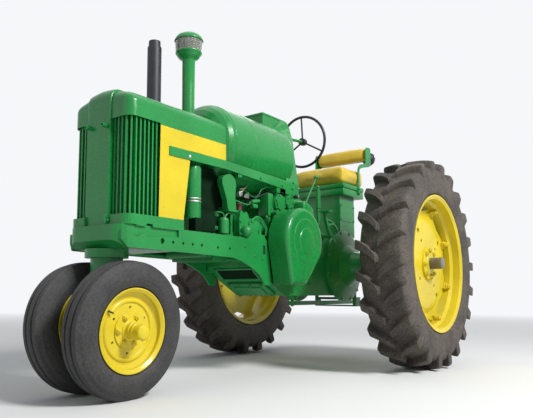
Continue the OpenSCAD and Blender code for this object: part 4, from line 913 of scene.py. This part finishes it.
# along a lug, from the tread's middle to the wall: share of the half width, degrees behind,
# tip radius, half width of the tip, half width of the foot
lug_rows = [(0.015, 0.0, 0.76, 0.014, 0.024), (0.05, 0.3, 0.772, 0.023, 0.032),
            (0.2, 2.4, 0.7722, 0.025, 0.035), (0.4, 4.6, 0.7715, 0.026, 0.036),
            (0.6, 6.2, 0.769, 0.0275, 0.038), (0.78, 7.3, 0.765, 0.029, 0.04), (0.9, 7.9, 0.761, 0.03, 0.041),
            (0.97, 8.2, 0.756, 0.03, 0.041), (0.995, 8.3, 0.746, 0.029, 0.039),
            (0.999, 8.3, 0.702, 0.026, 0.033)]
for side, mark in both_sides:
    body = spun(rear_profile, 132, "rear_tyre_body_" + mark, closed=True, shade=40)
    parts = [body]
    for half in (1, -1):
        points, faces = [], []
        for share, behind, tip, wide, foot_wide in lug_rows:
            h = half * share * tread_half
            foot_r = 0.69 if share < 0.96 else 0.656
            for r, w in ((foot_r, foot_wide), (tip - 0.012, wide + 0.004), (tip - 0.004, wide + 0.0015),
                         (tip, wide - 0.003), (tip, -wide + 0.003), (tip - 0.004, -wide - 0.0015),
                         (tip - 0.012, -wide - 0.004), (foot_r, -foot_wide)):
                # the arc length across the lug turned into an angle
                a = math.radians(90) - side * (math.radians(behind) + w / lug_r)
                points.append((r * math.cos(a), r * math.sin(a), h))
        across = 8
        for i in range(len(lug_rows) - 1):
            faces += [(k, k + 1, k + across + 1, k + across)
                      for k in range(i * across, i * across + across - 1)]
        faces += [range(across), range(len(points) - across, len(points))]
        lug = from_points(points, [], faces, "lug")
        outward(lug)
        smooth(lug, 30)
        step = 2 * math.pi / lug_count
        offset = step / 2 if half * side < 0 else 0
        turns = [Matrix.Rotation(side * (i * step + offset), 4, "Z") for i in range(lug_count)]
        lug.data.transform(turns[0])
        parts.append(copies(lug, [move @ turns[0].inverted() for move in turns], "lugs"))
    tyre = joined(parts, "rear_tyre_body_" + mark)
    tyre.data.transform(on_rear_wheel(side))
    dress(tyre, rear_rubber, "rear_" + mark, "rear_tyre_" + mark)


# ---- Seat. Cushion and backrest are foam under gold vinyl, crowned by their stuffing, with
# piping sewn along the seams. A strap of green steel holds the backrest's ends.
def vinyl(name, colour):
    """Soft vinyl with a fine leather grain and faint soiling."""
    finish, tree, shader = new_finish(name)
    pores = add(tree, "TexVoronoi", {"Vector": add(tree, "TexCoord", {})["Object"], "Scale": 420})["Distance"]
    soiled = ramp(tree, speckle(tree, 7, 8), 0.3, [c * 0.8 for c in colour], 0.6, colour)
    feed(tree, shader, {"Base Color": soiled, "Roughness": 0.38, "Sheen Weight": 0.12,
                        "Normal": bumps(tree, pores, 0.22, 0.0006)})
    return finish


def stuffed(low, high, name, shrink, cap, shape):
    """Swells a closed cushion like foam under a stretched cover, by a short cloth run."""
    frames = 20
    inner = Vector((shrink, shrink, shrink * 0.8))
    pad = box(low + inner, high - inner, name)
    round_edges(pad, lambda c: True, 0.03, 5)
    modify(pad, "REMESH", mode="VOXEL", voxel_size=0.006)
    for vertex in pad.data.vertices:
        vertex.co = shape(vertex.co)
    start = [v.co.copy() for v in pad.data.vertices]
    only(pad)
    cloth = pad.modifiers.new("stuffing", "CLOTH")
    cloth.settings.effector_weights.gravity = 0
    cloth.settings.use_pressure = True
    cloth.settings.uniform_pressure_force = 3.2
    cloth.settings.tension_stiffness = 20
    cloth.settings.compression_stiffness = 20
    cloth.settings.bending_stiffness = 12
    cloth.settings.mass = 0.3
    cloth.point_cache.frame_start = 1
    cloth.point_cache.frame_end = frames
    for number in range(1, frames + 1):
        scene.frame_set(number)
    bpy.ops.object.modifier_apply(modifier=cloth.name)
    scene.frame_set(1)
    for vertex, was in zip(pad.data.vertices, start):
        move = vertex.co - was
        vertex.co = was + move * (cap / (cap + move.length))
    for vertex in pad.data.vertices:
        vertex.co.z = max(vertex.co.z, low.z)
    modify(pad, "SMOOTH", factor=0.5, iterations=12)
    only(pad)
    bpy.ops.object.shade_smooth()
    return pad


def girth(pad, y, name):
    """Lays a thin welt round a pad, on the pad's own surface, where its seam runs."""
    near = [v.co - Vector((0, v.co.y, 0)) for v in pad.data.vertices if abs(v.co.y - y) < 0.004]
    middle = (Vector([min(axis) for axis in zip(*near)]) + Vector([max(axis) for axis in zip(*near)])) / 2
    loop = []
    count = 36
    for i in range(count + 1):
        way = Vector((math.cos(2 * math.pi * i / count), 0, math.sin(2 * math.pi * i / count)))
        spot = max(near, key=lambda co: (co - middle).normalized().dot(way))
        spot = spot - (spot - middle).normalized() * 0.0012
        loop.append((spot.x, y, spot.z))
    return pipe(loop, 0.0032, name)


# The frame under the seat: a pan on a riser with a gap between, and flat straps that climb
# past the cushion and sweep back to the plates that hold the backrest.
strap = [(-263, 1396), (-236, 1396), (-236, 1600), (-238, 1618), (-245, 1636), (-258, 1652), (-278, 1666),
         (-305, 1677), (-370, 1690), (-386, 1700), (-392, 1716), (-392, 1816), (-399, 1836), (-415, 1849),
         (-468, 1855), (-482, 1850), (-490, 1838), (-490, 1706), (-484, 1694), (-468, 1684), (-440, 1674),
         (-330, 1650), (-290, 1638), (-270, 1624), (-263, 1606)]
brackets = joined([plate(strap, side * 254, 8, "strap") for side in (1, -1)], "seat_brackets")
pan = box(at(-356, -250, 1431), at(17, 250, 1466), "seat_pan")
riser = box(at(-353, -247, 1370), at(14, 247, 1424), "seat_riser")
gap = box(at(-346, -240, 1420), at(7, 240, 1436), "seat_gap")
for piece in (pan, riser):
    round_edges(piece, lambda c: abs(c[0].z - c[1].z) > 0.02, 0.01, 4)
    smooth(soften(piece, 0.0025))
back_plate = soften(box(at(-490, -258, 1738), at(-484, 258, 1845), "seat_back_plate"), 0.002)
dress(brackets, sheet_green, instead_of="seat_frame")
dress(joined([pan, riser, gap, back_plate], "seat_pans"), sheet_green)
for side, mark in both_sides:
    green_bolts("seat_bolts_" + mark, [at(-249, side * 258, 1410), at(-249, side * 258, 1448)], (0, side, 0),
                0.016, 0.008)


seat_vinyl = vinyl("seat_vinyl", (0.7, 0.5, 0.035))
low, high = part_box("seat_cushion")
wider, longer = 0.026, 0.04
low = Vector((low.x - longer, low.y - wider, low.z))
high = Vector((high.x, high.y + wider, high.z))
middle_y = (low.y + high.y) / 2
seat_half = 0.251


def seat_form(co):
    """Crowns the seat across and lets it fall a little towards its rear."""
    up = max(0, (co.z - low.z) / (high.z - low.z))
    across = 1.08 - 0.09 * abs((co.y - middle_y) / seat_half) ** 3
    along = 1 - 0.03 * max(0, (low.x + 0.1 - co.x) / 0.1) ** 2
    return Vector((co.x, co.y, low.z + (co.z - low.z) * (1 - up + up * across * along)))


cushion = stuffed(low, high, "cushion", 0.012, 0.022, seat_form)
dress(cushion, seat_vinyl, instead_of="seat_cushion")
back_low, back_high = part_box("seat_back")
back_half, back_half_z = 0.25, 0.0635


def back_form(co):
    """Rounds the backrest's front and draws its ends in."""
    out = (co.y - (back_low.y + back_high.y) / 2) / back_half
    up = (co.z - (back_low.z + back_high.z) / 2) / back_half_z
    front_share = (co.x - back_low.x) / (back_high.x - back_low.x)
    return Vector((co.x - front_share * 0.01 * out ** 4 - front_share * 0.008 * up ** 2, co.y,
                   co.z + back_half_z * up * (0.1 - 0.2 * out ** 4)))


backrest = stuffed(back_low, back_high, "backrest", 0.01, 0.018, back_form)
dress(backrest, seat_vinyl, instead_of="seat_back")
for side, mark in both_sides:
    welt = girth(backrest, side * (back_high.y - 0.026), "backrest_piping_" + mark)
    dress(welt, seat_vinyl)


# ---- Rear lamp. A pressed black shell on a bracket, a bright rim and a ribbed red glass.
lamp_red, tree, shader = new_finish("lamp_red")
red_glass = ramp(tree, speckle(tree, 60), 0, (0.28, 0.01, 0.008), 1, (0.42, 0.02, 0.014))
feed(tree, shader, {"Base Color": red_glass, "Roughness": 0.12, "Coat Weight": 0.6})
lamp_place = at(-496, 214, 1770)
dress(spun([(0, -6), (20, -5), (40, 2), (52, 14), (56, 30), (57, 44), (59.5, 47), (59.5, 56), (56, 58)], 56,
           "lamp_shell", lamp_place, (-1, 0, 0), shade=40), stack_black,
      instead_of="rear_lamp")
lens_points = [(0, 68)]
lens_r, lens_rings = 54, 6
for i in range(1, lens_rings + 1):
    r = lens_r * i / lens_rings
    fall = 10 * (r / lens_r) ** 2
    lens_points += [(r - 4, 67.5 - fall), (r, 66 - fall)]
dress(spun(lens_points, 56, "lamp_lens", lamp_place, (-1, 0, 0), shade=50), lamp_red)
dress(spun([(53.5, 54), (56, 60), (60, 60), (61.5, 56), (61, 50), (59.5, 50)], 56, "lamp_bezel", lamp_place,
           (-1, 0, 0), closed=True, shade=50), bright_steel)
arm = pipe([lamp_place + Vector((0.012, -0.004, -0.046)), lamp_place + Vector((0.016, -0.006, -0.066)),
            lamp_place + Vector((0.014, -0.02, -0.08))], 0.007, "lamp_arm")
dress(arm, cast_green)


# ---- Driver's controls. A nut holds the wheel on its shaft, ribs lie under the rim for the
# fingers, and plain round dials with ticks and a needle sit in the dash.
hub_place = at(250, 0, 1805)
column = Vector((math.cos(math.radians(5)), 0, -math.sin(math.radians(5))))
dress(spun([(0, 46), (10, 45), (20, 40), (26, 30), (30.5, 18), (31, -19)], 40, "wheel_cap", hub_place,
           -column), hard_rubber, "steering")
grip = smooth(soften(box((-0.002, -0.006, -0.0135), (0.002, 0.006, -0.006), "grip"), 0.0018))
rim_r = 0.208
grip_count = 40
lean = (-column).to_track_quat("Z", "Y").to_matrix().to_4x4()
grip.data.transform(Matrix.Translation((rim_r, 0, 0)))
grips = copies(grip, [Matrix.Rotation(2 * math.pi * i / grip_count, 4, "Z") for i in range(grip_count)],
               "wheel_grips")
grips.data.transform(Matrix.Translation(hub_place) @ lean)
dress(grips, hard_rubber, "steering")
bush_length = 0.037
dash_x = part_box("cowl")[0].x + bush_length
dials = []
ticks = []
rims = []
for i, (y, z, r) in enumerate(((-0.105, 1.64, 36), (0.0, 1.62, 42), (0.105, 1.64, 36))):
    place = Vector((dash_x, y, z))
    reach = r / 1000
    face = spun([(0, 1.5), (r * 0.9, 1.5), (r * 0.93, 0.5), (r, 0)], 40, "dial", place, (-1, 0, 0), shade=0)
    dials.append(face)
    rim = spun([(r * 0.9, 2), (r * 0.93, 7.5), (r * 1.04, 7.5), (r * 1.09, 4), (r * 1.1, 0)], 40, "dial_rim",
               place, (-1, 0, 0), closed=True, shade=50)
    rims.append(rim)
    for k in range(11):
        a = math.radians(-135 + 27 * k)
        tick = box((-0.003, -0.0006, reach * 0.66), (-0.0014, 0.0006, reach * 0.84), "tick")
        tick.data.transform(Matrix.Translation(place) @ Matrix.Rotation(a, 4, "X"))
        ticks.append(tick)
    needle = box((-0.0036, -0.001, -reach * 0.15), (-0.0024, 0.001, reach * 0.62), "needle")
    soften(needle, 0.0004)
    needle.data.transform(Matrix.Translation(place) @ Matrix.Rotation(math.radians(-60 + 40 * i), 4, "X"))
    ticks.append(needle)
dress(joined(dials, "dial_faces"), hard_rubber)
dress(joined(ticks, "dial_ticks"), panel_yellow)
dress(joined(rims, "dial_rims"), bright_steel)
switches = [rod((dash_x + 0.002, y, 1.545), (dash_x - long, y, 1.545), r, "switch")
            for y, long, r in ((-0.15, 0.01, 0.014), (0.15, 0.022, 0.01))]
dress(joined(switches, "dash_switches"), bright_steel)
